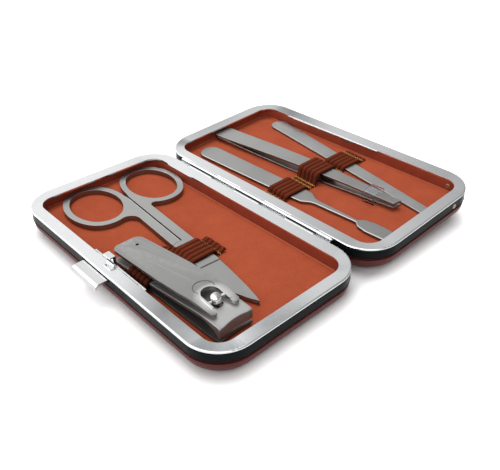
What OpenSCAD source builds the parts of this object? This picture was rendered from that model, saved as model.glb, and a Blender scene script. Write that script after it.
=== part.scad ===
// Manicure set case lying open: two framed, leather-covered tray halves on a long hinge, with
// scissors, nail clipper, cuticle pusher, tweezers and nail file held by elastic straps.
// Millimetres, Z up. Origin: centre of the underside of the left half, which lies on the table.
// Case coordinates used below: x across the hinge (left half negative), y along it, z from the
// plane in which the two frames meet.

/* [Case halves] */
// outer length of each half along the hinge
case_l = 115; // [105:0.5:125]
// outer width of each half across the hinge
half_w = 64.4; // [60:0.2:70]
// height of each half from the frame face to the underside
half_h = 10; // [9.8:0.1:12]
// outer corner radius seen from above
corner_r = 13; // [11:0.5:16]
// angle by which the open lid stops short of lying flat
open_gap = 2.74; // [0.5:0.02:5]

/* [Metal frame] */
// width of the flat chrome frame
flange_w = 4.95; // [4.5:0.05:5.2]
// sheet thickness of the frame face
flange_t = 0.6; // [0.5:0.05:0.8]
// rise of the frame face from its opening to its outer edge
crown = 0.5; // [0.3:0.05:0.6]
// rounding of the frame's outer top edge
lip_r = 0.45; // [0.2:0.05:0.5]
// corner radius of the frame's opening
opening_r = 6; // [5:0.1:7.5]
// outer face of the turned-down frame edge, measured in from the outline
skirt_in = 0.6; // [0.5:0.05:0.7]
// inner face of the turned-down frame edge, measured in from the outline
skirt_out = 1.2; // [1.1:0.05:1.3]
// depth of the turned-down frame edge below the face
skirt_d = 3.6; // [3:0.1:4]
// gap between the dark rim band and the leather below it
band_gap = 0.1; // [0.05:0.05:0.2]

/* [Hinge] */
// distance from the hinge axis to each half's edge
hinge_gap = 1.35; // [1.3:0.05:1.6]
// gap between the two frames when closed
parting = 0.3; // [0.2:0.05:0.4]
// outer radius of the hinge knuckles
knuckle_r = 0.75; // [0.7:0.05:0.9]
// radius of the hinge pin
hinge_pin_r = 0.35; // [0.3:0.05:0.4]
// running clearance around the hinge pin
hinge_fit = 0.04; // [0.02:0.01:0.08]
// gap between neighbouring knuckles
knuckle_gap = 0.16; // [0.1:0.02:0.3]
// near end of the first knuckle
knuckle_y0 = 16.5; // [14:0.5:20]
// length of the two outer knuckles
knuckle_end_l = 6.9; // [6:0.1:8]
// length of each inner knuckle
knuckle_l = 13.7; // [13:0.1:14]

/* [Leather cover] */
// wall thickness of the leather
leather_t = 1.0; // [0.8:0.1:1.2]
// radius of the rolled leather edge below the band
bead_r = 0.45; // [0.35:0.05:0.5]
// outer radius of the rounded lower edge
belly_r = 5.2; // [4.9:0.1:5.3]

/* [Tray and lining] */
// depth of the lining floor below the frame face
floor_d = 4.8; // [4.7:0.05:5]
// thickness of the padded suede floor
floor_t = 1.2; // [1:0.1:1.4]
// thickness of the board under the suede floor
board_t = 1.2; // [1:0.1:1.3]
// thickness of the suede on the tray walls
wall_t = 0.5; // [0.4:0.05:0.6]
// inner wall face at the two short ends, measured in from the outline
end_in = 2.8; // [2.5:0.1:3.2]
// corner radius of the lined tray
tray_r = 5; // [4:0.5:6]
// gap under a tool lying on the suede
seat_gap = 0.05; // [0.02:0.01:0.08]

/* [Latch] */
// y position of the riveted end of the latch leaf
leaf_y0 = 39.5; // [38:0.5:41]
// length of the latch leaf
leaf_l = 29.5; // [28:0.5:31]
// thickness of the latch leaf
leaf_t = 0.6; // [0.5:0.05:0.8]
// gap between the leaf and the tray wall
leaf_gap = 0.45; // [0.4:0.05:0.6]
// height of the latch leaf
leaf_h = 2.8; // [2.6:0.1:3]
// y position of the hook's near face
hook_y0 = 57.3; // [56:0.1:58]
// length of the hook along the hinge
hook_l = 4.0; // [3.6:0.1:5]
// height of the hook above the frame face
hook_h = 2.45; // [2.4:0.05:2.6]
// near edge of the thumb tab
tab_y0 = 52.4; // [51:0.2:54]
// width of the thumb tab along the hinge
tab_l = 14.8; // [13:0.2:16]
// thickness of the thumb tab
tab_t = 0.8; // [0.7:0.05:0.9]
// length of the flat of the thumb tab outside the case
tab_out = 3.0; // [2.6:0.1:3.4]
// radius of the thumb tab's downward curl
tab_r = 1.9; // [1.6:0.1:2.2]
// near end of the catch bar in the lid
bar_y0 = 44; // [42:0.5:46]
// length of the catch bar in the lid
bar_l = 48.5; // [46:0.5:50]
// width of the catch bar
bar_w = 0.4; // [0.3:0.02:0.42]
// radius of the rivet heads in the lid
rivet_r = 1; // [0.8:0.1:1]

/* [Straps] */
// thickness of the elastic between its ribs
web_t = 0.5; // [0.4:0.05:0.55]
// thickness of the elastic at its ribs
rib_t = 0.7; // [0.6:0.05:0.75]
// number of ribs across a strap
rib_n = 5; // [4:1:6]
// width of the left strap
strap_w = 10.6; // [9.5:0.1:11]
// width of the right strap
lid_strap_w = 10.8; // [9.5:0.1:11]
// near edge of the left strap
strap_y0 = 42; // [41:0.5:43]
// centre of the right strap along the hinge
lid_strap_y = 54.2; // [53:0.2:55]
// slant of the right strap
lid_strap_yaw = 3; // [0:0.5:4]
// height left free above a tool in its loop
loop_z = 0.2; // [0.15:0.05:0.3]

/* [Scissors] */
// pivot position across the hinge
sc_x = -35.0; // [-36:0.1:-34]
// pivot position along the hinge
sc_y = 46; // [45:0.5:47]
// slant of the scissors
sc_yaw = 4.35; // [3:0.05:5]
// full thickness of the scissors
sc_t = 2.2; // [2:0.1:2.3]
// half width of a finger ring, outside
ring_a = 11.7; // [11.4:0.1:12]
// half length of a finger ring, outside
ring_b = 15.1; // [14.5:0.1:15.2]
// width of the ring's metal
ring_w = 2.3; // [2:0.1:2.6]
// distance of a ring centre from the middle line
ring_u = 12.5; // [12.4:0.1:12.8]
// distance of the left ring's centre from the pivot
ring_v_left = 49.9; // [49:0.1:50.5]
// distance of the right ring's centre from the pivot
ring_v_right = 51.2; // [50.6:0.1:51.6]
// half width of the two shanks together
shank_w = 4.0; // [3.6:0.1:4.2]
// radius of the overlapping joint
joint_r = 9.6; // [9:0.1:10]
// gap between the shanks
shank_gap = 0.56; // [0.4:0.02:0.6]
// radius of the pivot screw
screw_r = 1.2; // [1:0.05:1.4]

/* [Nail clipper] */
// place of the clipper's middle across the left half, as a share of the half's width
cl_share = 0.757; // [0.755:0.001:0.759]
// front edge along the hinge
cl_y = 8.8; // [8:0.1:9.5]
// slant of the clipper
cl_yaw = 1.1; // [0:0.1:2]
// length of the two jaws
cl_l = 54; // [52:0.5:55]
// width of the jaws
cl_w = 12.8; // [12:0.1:13]
// radius of the hollow cutting edge
bite_r = 23; // [20:0.5:30]
// position of the pin behind the cutting edge
pin_v = 8.8; // [8.5:0.1:9.5]
// radius of the pin's rod
pin_r = 1.3; // [1.1:0.05:1.4]
// radius of the pin's ball head
ball_r = 1.95; // [1.8:0.05:2]
// thickness of the lever
lever_t = 1.0; // [0.8:0.05:1.1]
// overall length of the lever behind the pin
lever_l = 47; // [46:0.1:48]
// reach of the lever's fork in front of the pin
fork_l = 4.8; // [4:0.1:5]

/* [Tweezers] */
// distance across the hinge from the file's narrow end to the tweezers' tips
tw_to_file = 4.8; // [4.6:0.1:5]
// tip position along the hinge
tw_y = 15.5; // [15:0.1:17]
// slant of the tweezers
tw_yaw = 3.1; // [2.8:0.1:3.6]
// length of the tweezers
tw_l = 95.8; // [95:0.1:96]
// thickness of one arm
arm_t = 0.9; // [0.8:0.05:1]
// widest height across both arms
tw_h = 4.4; // [4.2:0.05:4.5]
// gap between the tips
tip_gap = 0.7; // [0.6:0.05:0.8]
// wall thickness of the clear tip band
tip_band_t = 0.4; // [0.3:0.05:0.5]
// length of the clear tip band
tip_band_l = 5.4; // [5:0.1:6]

/* [Cuticle pusher] */
// spade end across the hinge
pu_x = 19.7; // [19.4:0.1:20]
// spade end along the hinge
pu_y = 4.6; // [4.2:0.1:5]
// slant of the pusher
pu_yaw = 1.8; // [1.4:0.1:2.2]
// length of the pusher
pu_l = 101; // [99:0.5:101.5]
// thickness of the pusher
pu_t = 1.4; // [1.2:0.1:1.6]

/* [Nail file] */
// distance of the file's narrow end from the lid's outer tray wall
fi_to_wall = 19.6; // [19.4:0.1:19.8]
// narrow end along the hinge
fi_y = 5; // [4.8:0.1:5.4]
// slant of the file
fi_yaw = 9.3; // [9:0.1:9.4]
// length of the file
fi_l = 97.4; // [95:0.2:98]
// thickness of the file
fi_t = 1.1; // [0.9:0.1:1.2]
// half width at the narrow end
fi_w0 = 2.2; // [2:0.1:2.3]
// half width at the wide end
fi_w1 = 3.9; // [3.6:0.1:4]

/* [Hidden] */
$fn = 96;
hinge_z = crown + parting / 2;
hinge_x = hinge_gap + half_w / 2;
tool_z = seat_gap - floor_d;
cl_x = -hinge_gap - cl_share * half_w;
fi_x = hinge_gap + half_w - flange_w - fi_to_wall;
tw_x = fi_x - tw_to_file;
wall_out = flange_w - wall_t;
end_out = end_in - wall_t;
belly_c = [leather_t / 5 + belly_r, -half_h + belly_r];
latch_u = half_w - flange_w;
leaf_u = latch_u - leaf_gap;
leaf_z = -0.4;
hook_w = 1.2;
nose_t = 0.45;
slot_z = -flange_t - 1.4;
snug = 0.02;
strap_z = snug - floor_d;
white_metal = [0.86, 0.87, 0.88];
satin_metal = [0.62, 0.63, 0.63];
dark_metal = [0.06, 0.07, 0.07];
burgundy = [0.30, 0.10, 0.09];
suede = [0.66, 0.29, 0.18];
suede_dark = [0.42, 0.17, 0.11];
strap_brown = [0.30, 0.14, 0.08];
card = [0.55, 0.47, 0.36];
foam = [0.80, 0.78, 0.70];
gold = [0.80, 0.62, 0.30];
clear = [0.90, 0.92, 0.95, 0.4];

// ---- shared placing and shapes

module in_case() {
    translate([hinge_x, -case_l / 2, half_h]) children();
}

module in_lid() {
    in_case()
        translate([0, 0, hinge_z])
            rotate([0, -open_gap, 0])
                translate([0, 0, -hinge_z])
                    children();
}

// half coordinates: u outward from the hinge-side edge, y along the hinge
module base_half() {
    in_case() mirror([1, 0, 0]) translate([hinge_gap, 0, 0]) children();
}

module lid_half() {
    in_lid() translate([hinge_gap, 0, 0]) children();
}

// 2D rectangle with rounded corners between two corners
module rounded(x0, y0, x1, y1, r) {
    translate([x0 + r, y0]) square([x1 - x0 - 2 * r, y1 - y0]);
    translate([x0, y0 + r]) square([x1 - x0, y1 - y0 - 2 * r]);
    for (x = [x0 + r, x1 - r], y = [y0 + r, y1 - r])
        translate([x, y]) circle(r);
}

// outline of a half, moved in by d
module outline(d) {
    rounded(d, d, half_w - d, case_l - d, corner_r - d);
}

// lined tray outline, moved in by sx on the long sides and sy on the short ones
module tray_outline(sx, sy, r) {
    rounded(sx, sy, half_w - sx, case_l - sy, r);
}

// runs a profile (inward distance, height) all round the outline of a half
module around_rim() {
    r = corner_r;
    run_y = case_l - 2 * r;
    run_x = half_w - 2 * r;
    translate([0, case_l - r, 0]) rotate([90, 0, 0]) linear_extrude(run_y) children();
    translate([half_w, case_l - r, 0]) rotate([90, 0, 0]) linear_extrude(run_y) mirror([1, 0]) children();
    translate([r, 0, 0]) rotate([90, 0, 90]) linear_extrude(run_x) children();
    translate([r, case_l, 0]) rotate([90, 0, 90]) linear_extrude(run_x) mirror([1, 0]) children();
    for (k = [0 : 3]) {
        cx = (k == 0 || k == 3) ? half_w - r : r;
        cy = (k == 0 || k == 1) ? case_l - r : r;
        translate([cx, cy, 0])
            rotate([0, 0, 90 * k])
                rotate_extrude(angle = 90)
                    translate([r, 0]) mirror([1, 0]) children();
    }
}

// side view (y, z) drawn as (x, y), extruded to a width across
module side_cut(w) {
    translate([-w / 2, 0, 0]) rotate([90, 0, 90]) linear_extrude(w) children();
}

// oval with half axes a and b and end radius r, made of four arcs
module oval(a, b, r) {
    c = b - r;
    big = (a * a + c * c - r * r) / (2 * (a - r));
    reach = big * c / (big - r);
    for (s = [-1, 1]) translate([0, s * c]) circle(r);
    intersection() {
        translate([a - big, 0]) circle(big);
        translate([big - a, 0]) circle(big);
        square([2 * a, 2 * reach], center = true);
    }
}

// ---- parts common to both halves

knuckle_n = 7;
function knuckle_at(i) =
    i <= 0 ? knuckle_y0 :
    i >= knuckle_n ? knuckle_y0 + 2 * knuckle_end_l + (knuckle_n - 2) * knuckle_l :
    knuckle_y0 + knuckle_end_l + (i - 1) * knuckle_l;

// the lid's knuckles join its frame flush, the left half's ones lower down and with a flat wing
// that fills the space up to the lid's frame
module knuckles(first) {
    low = crown - flange_t;
    flush = flange_t - 0.05;
    wing = hinge_gap - 0.2;
    for (i = [first : 2 : knuckle_n - 1]) {
        y0 = knuckle_at(i) + knuckle_gap / 2;
        y1 = knuckle_at(i + 1) - knuckle_gap / 2;
        translate([-hinge_gap, y1, hinge_z])
            rotate([90, 0, 0])
                cylinder(h = y1 - y0, r = knuckle_r);
        translate([-hinge_gap, y0, low]) cube([hinge_gap + 0.6, y1 - y0, first == 1 ? flush : flush / 2]);
        if (first == 0) translate([-hinge_gap - wing, y0, low]) cube([wing, y1 - y0, flush]);
    }
}

module knuckle_bore() {
    translate([-hinge_gap, knuckle_at(knuckle_n) + 1, hinge_z])
        rotate([90, 0, 0])
            cylinder(h = knuckle_at(knuckle_n) - knuckle_y0 + 2, r = hinge_pin_r + hinge_fit);
}

module frame_ring(first) {
    over = 0.5;
    fall = crown / (flange_w - lip_r);
    difference() {
        union() {
            around_rim() {
                translate([lip_r, crown - lip_r]) circle(lip_r);
                polygon([
                    [0, crown - flange_t],
                    [0, crown - lip_r],
                    [lip_r, crown],
                    [flange_w + over, -over * fall],
                    [flange_w + over, -over * fall - flange_t]
                ]);
                translate([skirt_in, -skirt_d]) square([skirt_out - skirt_in, skirt_d]);
            }
            knuckles(first);
        }
        translate([0, 0, -2])
            linear_extrude(4)
                rounded(flange_w, flange_w, half_w - flange_w, case_l - flange_w, opening_r);
        knuckle_bore();
    }
}

module rim_band() {
    around_rim()
        translate([0.1, band_gap - skirt_d])
            square([skirt_in - 0.1 - snug, crown - 2 * lip_r - 0.05 - band_gap + skirt_d]);
}

module leather_shell() {
    wall_in = leather_t / 5;
    around_rim() {
        translate([wall_in, belly_c[1]]) square([leather_t, -skirt_d - belly_c[1]]);
        translate([bead_r, -skirt_d - 0.05 - bead_r]) circle(bead_r);
        intersection() {
            translate(belly_c) difference() {
                circle(belly_r);
                circle(belly_r - leather_t);
            }
            translate([0, -half_h]) square([belly_c[0], belly_r]);
        }
    }
    translate([0, 0, -half_h]) linear_extrude(leather_t) outline(belly_c[0]);
}

module tray_board() {
    difference() {
        union() {
            translate([0, 0, belly_c[1] - 0.3])
                linear_extrude(-belly_c[1] + 0.3 - flange_t - snug) outline(skirt_out + snug);
            translate([0, 0, -floor_d - floor_t]) linear_extrude(floor_t) outline(skirt_out + 0.3);
            translate([0, 0, -floor_d - floor_t - board_t])
                linear_extrude(board_t + 0.1) outline(skirt_out + 0.9);
        }
        translate([0, 0, -floor_d - floor_t])
            linear_extrude(floor_d + floor_t) tray_outline(wall_out, end_out, tray_r + wall_t);
    }
}

module wall_suede() {
    translate([0, 0, -floor_d - floor_t + snug])
        linear_extrude(floor_d + floor_t - flange_t - 2 * snug)
            difference() {
                tray_outline(wall_out + snug, end_out + snug, tray_r + wall_t - snug);
                tray_outline(flange_w, end_in, tray_r);
            }
}

module floor_suede() {
    translate([0, 0, -floor_d - floor_t + snug])
        linear_extrude(floor_t - snug) tray_outline(flange_w + snug, end_in + snug, tray_r - snug);
}

module soft_padding() {
    z0 = -half_h + leather_t;
    inset = belly_c[0] + 0.3;
    translate([0, 0, z0])
        linear_extrude(-floor_d - floor_t - board_t - z0) outline(inset);
}

// slot through the outer long side for the thumb tab
module tab_slot() {
    translate([latch_u - 1, tab_y0 - 0.6, slot_z]) cube([flange_w + 2, tab_l + 1.5, -flange_t - slot_z]);
}

// pocket behind the lid's frame for the hook's nose
module hook_pocket() {
    translate([latch_u - 1, hook_y0 - 1, -flange_t - 1.1]) cube([2.2, hook_l + 2, 1.1]);
}

// ---- straps: flat elastic with an arch over each tool

// a loop as [inner start, inner end, inner height above the lining]
module loop_outline(loops, x0, x1, t) {
    r = 1.2;
    difference() {
        union() {
            translate([x0, 0]) square([x1 - x0, t]);
            for (k = loops) intersection() {
                rounded_top(k[0] - t, k[1] + t, k[2] + t, r + t);
                translate([k[0] - t, 0]) square([k[1] - k[0] + 2 * t, k[2] + t]);
            }
        }
        for (k = loops) translate([0, -0.01]) rounded_top(k[0], k[1], k[2] + 0.01, r);
    }
}

module rounded_top(x0, x1, h, r) {
    translate([x0, 0]) square([x1 - x0, h - r]);
    translate([x0 + r, 0]) square([x1 - x0 - 2 * r, h]);
    for (x = [x0 + r, x1 - r]) translate([x, h - r]) circle(r);
}

module strap(loops, x0, x1, w) {
    pitch = w / rib_n;
    rib_w = pitch * 0.72;
    for (i = [0 : rib_n - 1])
        translate([0, i * pitch + rib_w, 0])
            rotate([90, 0, 0]) linear_extrude(rib_w) loop_outline(loops, x0, x1, rib_t);
    translate([0, w - (pitch - rib_w), 0])
        rotate([90, 0, 0]) linear_extrude(w - (pitch - rib_w)) loop_outline(loops, x0, x1, web_t);
}

// ---- left half

module base_frame() {
    color(white_metal) difference() {
        base_half() frame_ring(0);
        base_half() tab_slot();
    }
}

module base_rim_band() {
    color(dark_metal) difference() {
        base_half() rim_band();
        base_half() tab_slot();
    }
}

module base_leather_cover() {
    color(burgundy) base_half() leather_shell();
}

module base_padding() {
    color(foam) base_half() soft_padding();
}

module base_tray_board() {
    color(card) difference() {
        base_half() tray_board();
        base_half() tab_slot();
    }
}

module base_wall_lining() {
    color(suede_dark) difference() {
        base_half() wall_suede();
        base_half() tab_slot();
    }
}

module base_floor_lining() {
    color(suede) base_half() floor_suede();
}

base_loops = [
    [cl_x - 7.7, cl_x + 6.3, 4.1],
    [sc_x - 5.0, sc_x + 5.4, sc_t + seat_gap + loop_z]
];

module base_strap() {
    color(strap_brown) in_case()
        translate([0, strap_y0, strap_z])
            strap(base_loops, cl_x - 9.0, sc_x + 9.8, strap_w);
}

module hinge_pin() {
    over = 0.2;
    color(white_metal) in_case()
        translate([0, knuckle_at(knuckle_n) + over, hinge_z])
            rotate([90, 0, 0])
                cylinder(h = knuckle_at(knuckle_n) - knuckle_y0 + 2 * over, r = hinge_pin_r);
}

module latch_anchor() {
    color(satin_metal) base_half() {
        translate([leaf_u + 0.05, leaf_y0, leaf_z - leaf_h]) cube([leaf_gap - 0.05, 3.5, leaf_h - 0.4]);
    }
}

module latch_leaf() {
    color(white_metal) base_half() {
        translate([leaf_u - leaf_t, leaf_y0, leaf_z - leaf_h]) cube([leaf_t, leaf_l, leaf_h]);
        translate([leaf_u - hook_w, hook_y0, leaf_z - leaf_h + 0.8])
            cube([hook_w, hook_l, hook_h - leaf_z + leaf_h - 0.8]);
        translate([leaf_u - hook_w, hook_y0, hook_h - nose_t]) cube([hook_w + leaf_gap + 0.6, hook_l, nose_t]);
    }
}

module latch_thumb_tab() {
    top = -flange_t - 0.3;
    flat_end = half_w + tab_out;
    color(white_metal) base_half() {
        translate([0, tab_y0 + tab_l, 0]) rotate([90, 0, 0]) linear_extrude(tab_l) {
            translate([leaf_u, top - tab_t]) square([flat_end - leaf_u, tab_t]);
            translate([flat_end, top - tab_r]) intersection() {
                difference() {
                    circle(tab_r);
                    circle(tab_r - tab_t);
                }
                square([tab_r, tab_r]);
            }
        }
    }
}

// ---- lid half

module lid_frame() {
    color(white_metal) lid_half() frame_ring(1);
}

module lid_rim_band() {
    color(dark_metal) difference() {
        lid_half() rim_band();
        rivet_holes();
    }
}

module lid_leather_cover() {
    color(burgundy) lid_half() leather_shell();
}

module lid_padding() {
    color(foam) lid_half() soft_padding();
}

module lid_tray_board() {
    color(card) difference() {
        lid_half() tray_board();
        lid_half() hook_pocket();
        rivet_holes();
    }
}

module lid_wall_lining() {
    color(suede_dark) difference() {
        lid_half() wall_suede();
        lid_half() hook_pocket();
        rivet_holes();
    }
}

module lid_floor_lining() {
    color(suede) lid_half() floor_suede();
}

lid_loops = [
    [pu_x - 6.8, pu_x + 3.8, pu_t + seat_gap + loop_z],
    [tw_x - 7.1, tw_x + 3.1, tw_h + seat_gap + loop_z],
    [fi_x + 3.8, fi_x + 13.2, fi_t + seat_gap + loop_z]
];

module lid_strap() {
    middle = tw_x - 2.4;
    color(strap_brown) in_lid()
        translate([middle, lid_strap_y, strap_z])
            rotate([0, 0, -lid_strap_yaw])
                translate([-middle, -lid_strap_w / 2, 0])
                    strap(lid_loops, pu_x - 10.1, fi_x + 17, lid_strap_w);
}

// strip that widens the frame face where the hook's nose catches behind it
module lid_catch_bar() {
    color(white_metal) lid_half()
        translate([latch_u - bar_w, bar_y0, -flange_t]) cube([bar_w, bar_l, flange_t - 0.1]);
}

// one rivet shows outside the near end, the other inside the outer long side
rivet_end_u = 48.15;
rivet_side_y = 9.9;
rivet_z = -3.0;

module rivet_holes() {
    lid_half() {
        translate([rivet_end_u, skirt_in, rivet_z + 0.6]) rotate([90, 0, 0]) cylinder(h = 1, r = rivet_r + 0.02);
        translate([latch_u - 1, rivet_side_y, rivet_z]) rotate([0, 90, 0]) cylinder(h = 3, r = rivet_r / 2 + 0.02);
    }
}

module lid_rivets() {
    color(gold) lid_half() {
        translate([rivet_end_u, skirt_in, rivet_z + 0.6]) rotate([90, 0, 0]) cylinder(h = skirt_in - 0.02, r = rivet_r);
        translate([latch_u - 0.4, rivet_side_y, rivet_z]) rotate([0, 90, 0]) cylinder(h = 0.4, r = rivet_r);
        translate([latch_u - 0.4, rivet_side_y, rivet_z]) rotate([0, 90, 0]) cylinder(h = 2.2, r = rivet_r / 2);
    }
}

// ---- scissors: local v runs from the pivot to the finger rings

module in_scissors() {
    in_case() translate([sc_x, sc_y, tool_z]) rotate([0, 0, -sc_yaw]) children();
}

// ring and shank of one half; side -1 is the left one
module handle_outline(side) {
    g = shank_gap / 2;
    ring_v = side < 0 ? ring_v_left : ring_v_right;
    round_r = side < 0 ? 4 : 1.8;
    end_r = ring_a - 1.4;
    round_u = shank_w + round_r;
    end_v = ring_v - ring_b + end_r;
    round_v = end_v - sqrt(pow(end_r + round_r, 2) - pow(ring_u - round_u, 2));
    mirror([side < 0 ? 1 : 0, 0]) difference() {
        union() {
            translate([ring_u, ring_v]) oval(ring_a, ring_b, ring_a - 1.4);
            polygon([
                [g, joint_r - 4],
                [shank_w, joint_r - 4],
                [shank_w, round_v],
                [round_u, round_v],
                [ring_u, end_v],
                [ring_u, ring_v],
                [ring_u - ring_a + 0.3, ring_v + 1.5],
                [g, ring_v - 3.5]
            ]);
        }
        translate([ring_u, ring_v]) oval(ring_a - ring_w, ring_b - ring_w - 0.2, end_r - ring_w);
        translate([round_u, round_v]) circle(round_r);
    }
}

module blade_outline() {
    polygon([
        [-shank_w, -7.4],
        [-3.8, -16.2],
        [-2.75, -23.8],
        [-0.85, -28.6],
        [1.14, -32.3],
        [1.75, -29.5],
        [2.6, -23.9],
        [3.4, -15.8],
        [shank_w, -7.4]
    ]);
}

module joint_outline() {
    intersection() {
        translate([-shank_w, -7.4]) square([2 * shank_w, 2 * joint_r]);
        circle(joint_r);
    }
}

// half with the left ring: its blade lies underneath
module scissor_half_lower() {
    h = sc_t / 2 - 0.01;
    color(satin_metal) in_scissors() difference() {
        union() {
            linear_extrude(h) {
                joint_outline();
                blade_outline();
            }
            linear_extrude(h) handle_outline(-1);
            linear_extrude(sc_t) difference() {
                handle_outline(-1);
                circle(joint_r + 0.1);
            }
        }
        translate([0, 0, -1]) cylinder(h = sc_t + 2, r = screw_r + 0.02);
    }
}

// half with the right ring: its blade lies on top
module scissor_half_upper() {
    h = sc_t / 2 + 0.01;
    color(satin_metal) in_scissors() difference() {
        union() {
            translate([0, 0, h]) linear_extrude(sc_t - h) joint_outline();
            translate([0, 0, h]) linear_extrude(sc_t - h - 0.3) blade_outline();
            translate([0, 0, h]) linear_extrude(sc_t - h) handle_outline(1);
            linear_extrude(sc_t) difference() {
                handle_outline(1);
                circle(joint_r + 0.1);
            }
        }
        translate([0, 0, -1]) cylinder(h = sc_t + 2, r = screw_r + 0.05);
        translate([0, 0, sc_t - 0.35]) cylinder(h = 1, r = 2.3 + 0.05);
    }
}

module scissor_screw() {
    color(satin_metal) in_scissors() difference() {
        union() {
            cylinder(h = sc_t, r = screw_r);
            translate([0, 0, sc_t - 0.3]) cylinder(h = 0.3, r = 2.3);
        }
        translate([-3, -0.25, sc_t - 0.15]) cube([6, 0.5, 1]);
    }
}

// ---- nail clipper: local v runs from the cutting edge to the back, heights from the tray floor

module in_clipper() {
    in_case() translate([cl_x, cl_y, tool_z]) rotate([0, 0, cl_yaw]) children();
}

rivet_v = cl_l - 4;
bar_z = 8.4;

module bite() {
    translate([0, 0.7 - bite_r, -1]) cylinder(h = 10, r = bite_r);
}

module clipper_lower_jaw() {
    color(satin_metal) in_clipper() difference() {
        side_cut(cl_w) polygon([
            [cl_l, 0],
            [cl_l, 1.0],
            [14, 1.0],
            [6, 1.05],
            [2.6, 1.3],
            [0.9, 1.75],
            [0.3, 1.75],
            [0, 1.4],
            [0.3, 0.5],
            [1.2, 0]
        ]);
        bite();
        translate([0, pin_v, -1]) cylinder(h = 4, r = pin_r + 0.05);
        translate([0, pin_v, -1]) cylinder(h = 1.45, r = 2.65);
        translate([0, rivet_v, -1]) cylinder(h = 4, r = 1.62);
    }
}

module clipper_upper_jaw() {
    color(satin_metal) in_clipper() difference() {
        side_cut(cl_w) polygon([
            [cl_l, 1.03],
            [cl_l, 2.1],
            [31, 4.0],
            [pin_v, 6.8],
            [4.5, 6.8],
            [1.2, 6.65],
            [0.3, 6.3],
            [0, 5.7],
            [0, 3.2],
            [0.3, 2.65],
            [0.8, 2.65],
            [1.6, 3.4],
            [3.0, 4.8],
            [pin_v - 1.5, 5.65],
            [31, 2.9]
        ]);
        bite();
        translate([0, pin_v, 2]) cylinder(h = 7, r = 2.1);
        translate([0, rivet_v, 0]) cylinder(h = 5, r = 1.85);
    }
}

module clipper_rear_rivet() {
    color(satin_metal) in_clipper() {
        translate([0, rivet_v, 0]) cylinder(h = 2.7, r = 1.6);
        translate([0, rivet_v, 2.65]) cylinder(h = 0.5, r = 2.5);
    }
}

module clipper_pin() {
    color(white_metal) in_clipper() translate([0, pin_v, 0]) difference() {
        union() {
            cylinder(h = bar_z, r = pin_r);
            cylinder(h = 0.4, r = 2.55);
            translate([0, 0, bar_z + 0.25]) sphere(ball_r);
        }
        translate([-5, 0, bar_z]) rotate([0, 90, 0]) cylinder(h = 10, r = 0.6);
    }
}

// underside of the lever as (distance behind the pin, height), highest behind the fork
lever_side = [
    [-fork_l, 7.35],
    [2.2, 8.21],
    [5.2, 8.26],
    [lever_l, 4.35]
];

module lever_layer(z0, z1) {
    top = [for (i = [len(lever_side) - 1 : -1 : 0]) lever_side[i] + [0, z1]];
    side_cut(14) polygon(concat([for (p = lever_side) p + [0, z0]], top));
}

module fork_opening(grow) {
    translate([0, 2.2]) circle(3 + grow);
    translate([-3 - grow, -fork_l - 1]) square([6 + 2 * grow, fork_l + 3.2]);
}

module lever_outline() {
    r = 3;
    tip_r = 1.25;
    difference() {
        union() {
            polygon([
                [-5.5, tip_r - fork_l],
                [5.5, tip_r - fork_l],
                [6.3, 10],
                [6.4, 20],
                [5.7, lever_l - r],
                [-5.7, lever_l - r],
                [-6.4, 20],
                [-6.3, 10]
            ]);
            for (x = [tip_r - 5.5, 5.5 - tip_r]) translate([x, tip_r - fork_l]) circle(tip_r);
            translate([r - 5.7, lever_l - r]) circle(r);
            translate([5.7 - r, lever_l - r]) circle(r);
            translate([r - 5.7, lever_l - r]) square([2 * (5.7 - r), r]);
        }
        fork_opening(0);
        translate([1.6, lever_l - 5]) circle(0.6);
    }
}

module clipper_lever() {
    lip = 0.3;
    color(satin_metal) in_clipper() translate([0, pin_v, 0]) {
        intersection() {
            lever_layer(0, lever_t);
            linear_extrude(20) lever_outline();
        }
        intersection() {
            lever_layer(lever_t - 0.2, lever_t + lip);
            linear_extrude(20) difference() {
                fork_opening(0.6);
                fork_opening(0);
                translate([-5, -fork_l - 2]) square([10, 4]);
            }
        }
        translate([-3.4, 0, bar_z]) rotate([0, 90, 0]) cylinder(h = 6.8, r = 0.5);
    }
}

// ---- tweezers: local v runs from the tips to the joined back end

module in_tweezers() {
    in_lid() translate([tw_x, tw_y, tool_z + tw_h / 2]) rotate([0, 0, tw_yaw]) children();
}

arm_steps = 16;
back_v = tw_l - 7;
// distance of an arm's outer face from the middle plane
function bow(v) =
    v >= back_v ? arm_t :
    arm_t + (tip_gap / 2) * (1 - v / back_v)
    + (tw_h / 2 - arm_t - tip_gap / 4) * sin(180 * pow(v / back_v, 1.0));

module arm_side() {
    outer = [for (i = [0 : arm_steps]) [back_v * i / arm_steps, bow(back_v * i / arm_steps)]];
    inner = [for (i = [arm_steps : -1 : 0]) [back_v * i / arm_steps, bow(back_v * i / arm_steps) - arm_t]];
    polygon(concat(outer, [[tw_l, arm_t], [tw_l, 0]], inner));
}

module arm_outline() {
    polygon([
        [-1.9, 0.9],
        [1.8, 0],
        [2.5, 21],
        [3.1, 33],
        [3.5, 45],
        [4.1, 70],
        [4.5, tw_l - 1.5],
        [3.3, tw_l],
        [-3.3, tw_l],
        [-4.5, tw_l - 1.5],
        [-4.1, 70],
        [-3.5, 45],
        [-3.1, 33],
        [-2.5, 21]
    ]);
}

module arm() {
    intersection() {
        linear_extrude(tw_h) arm_outline();
        side_cut(20) arm_side();
    }
}

module tweezer_upper_arm() {
    color(satin_metal) in_tweezers() arm();
}

module tweezer_lower_arm() {
    color(satin_metal) in_tweezers() mirror([0, 0, 1]) arm();
}

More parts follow.
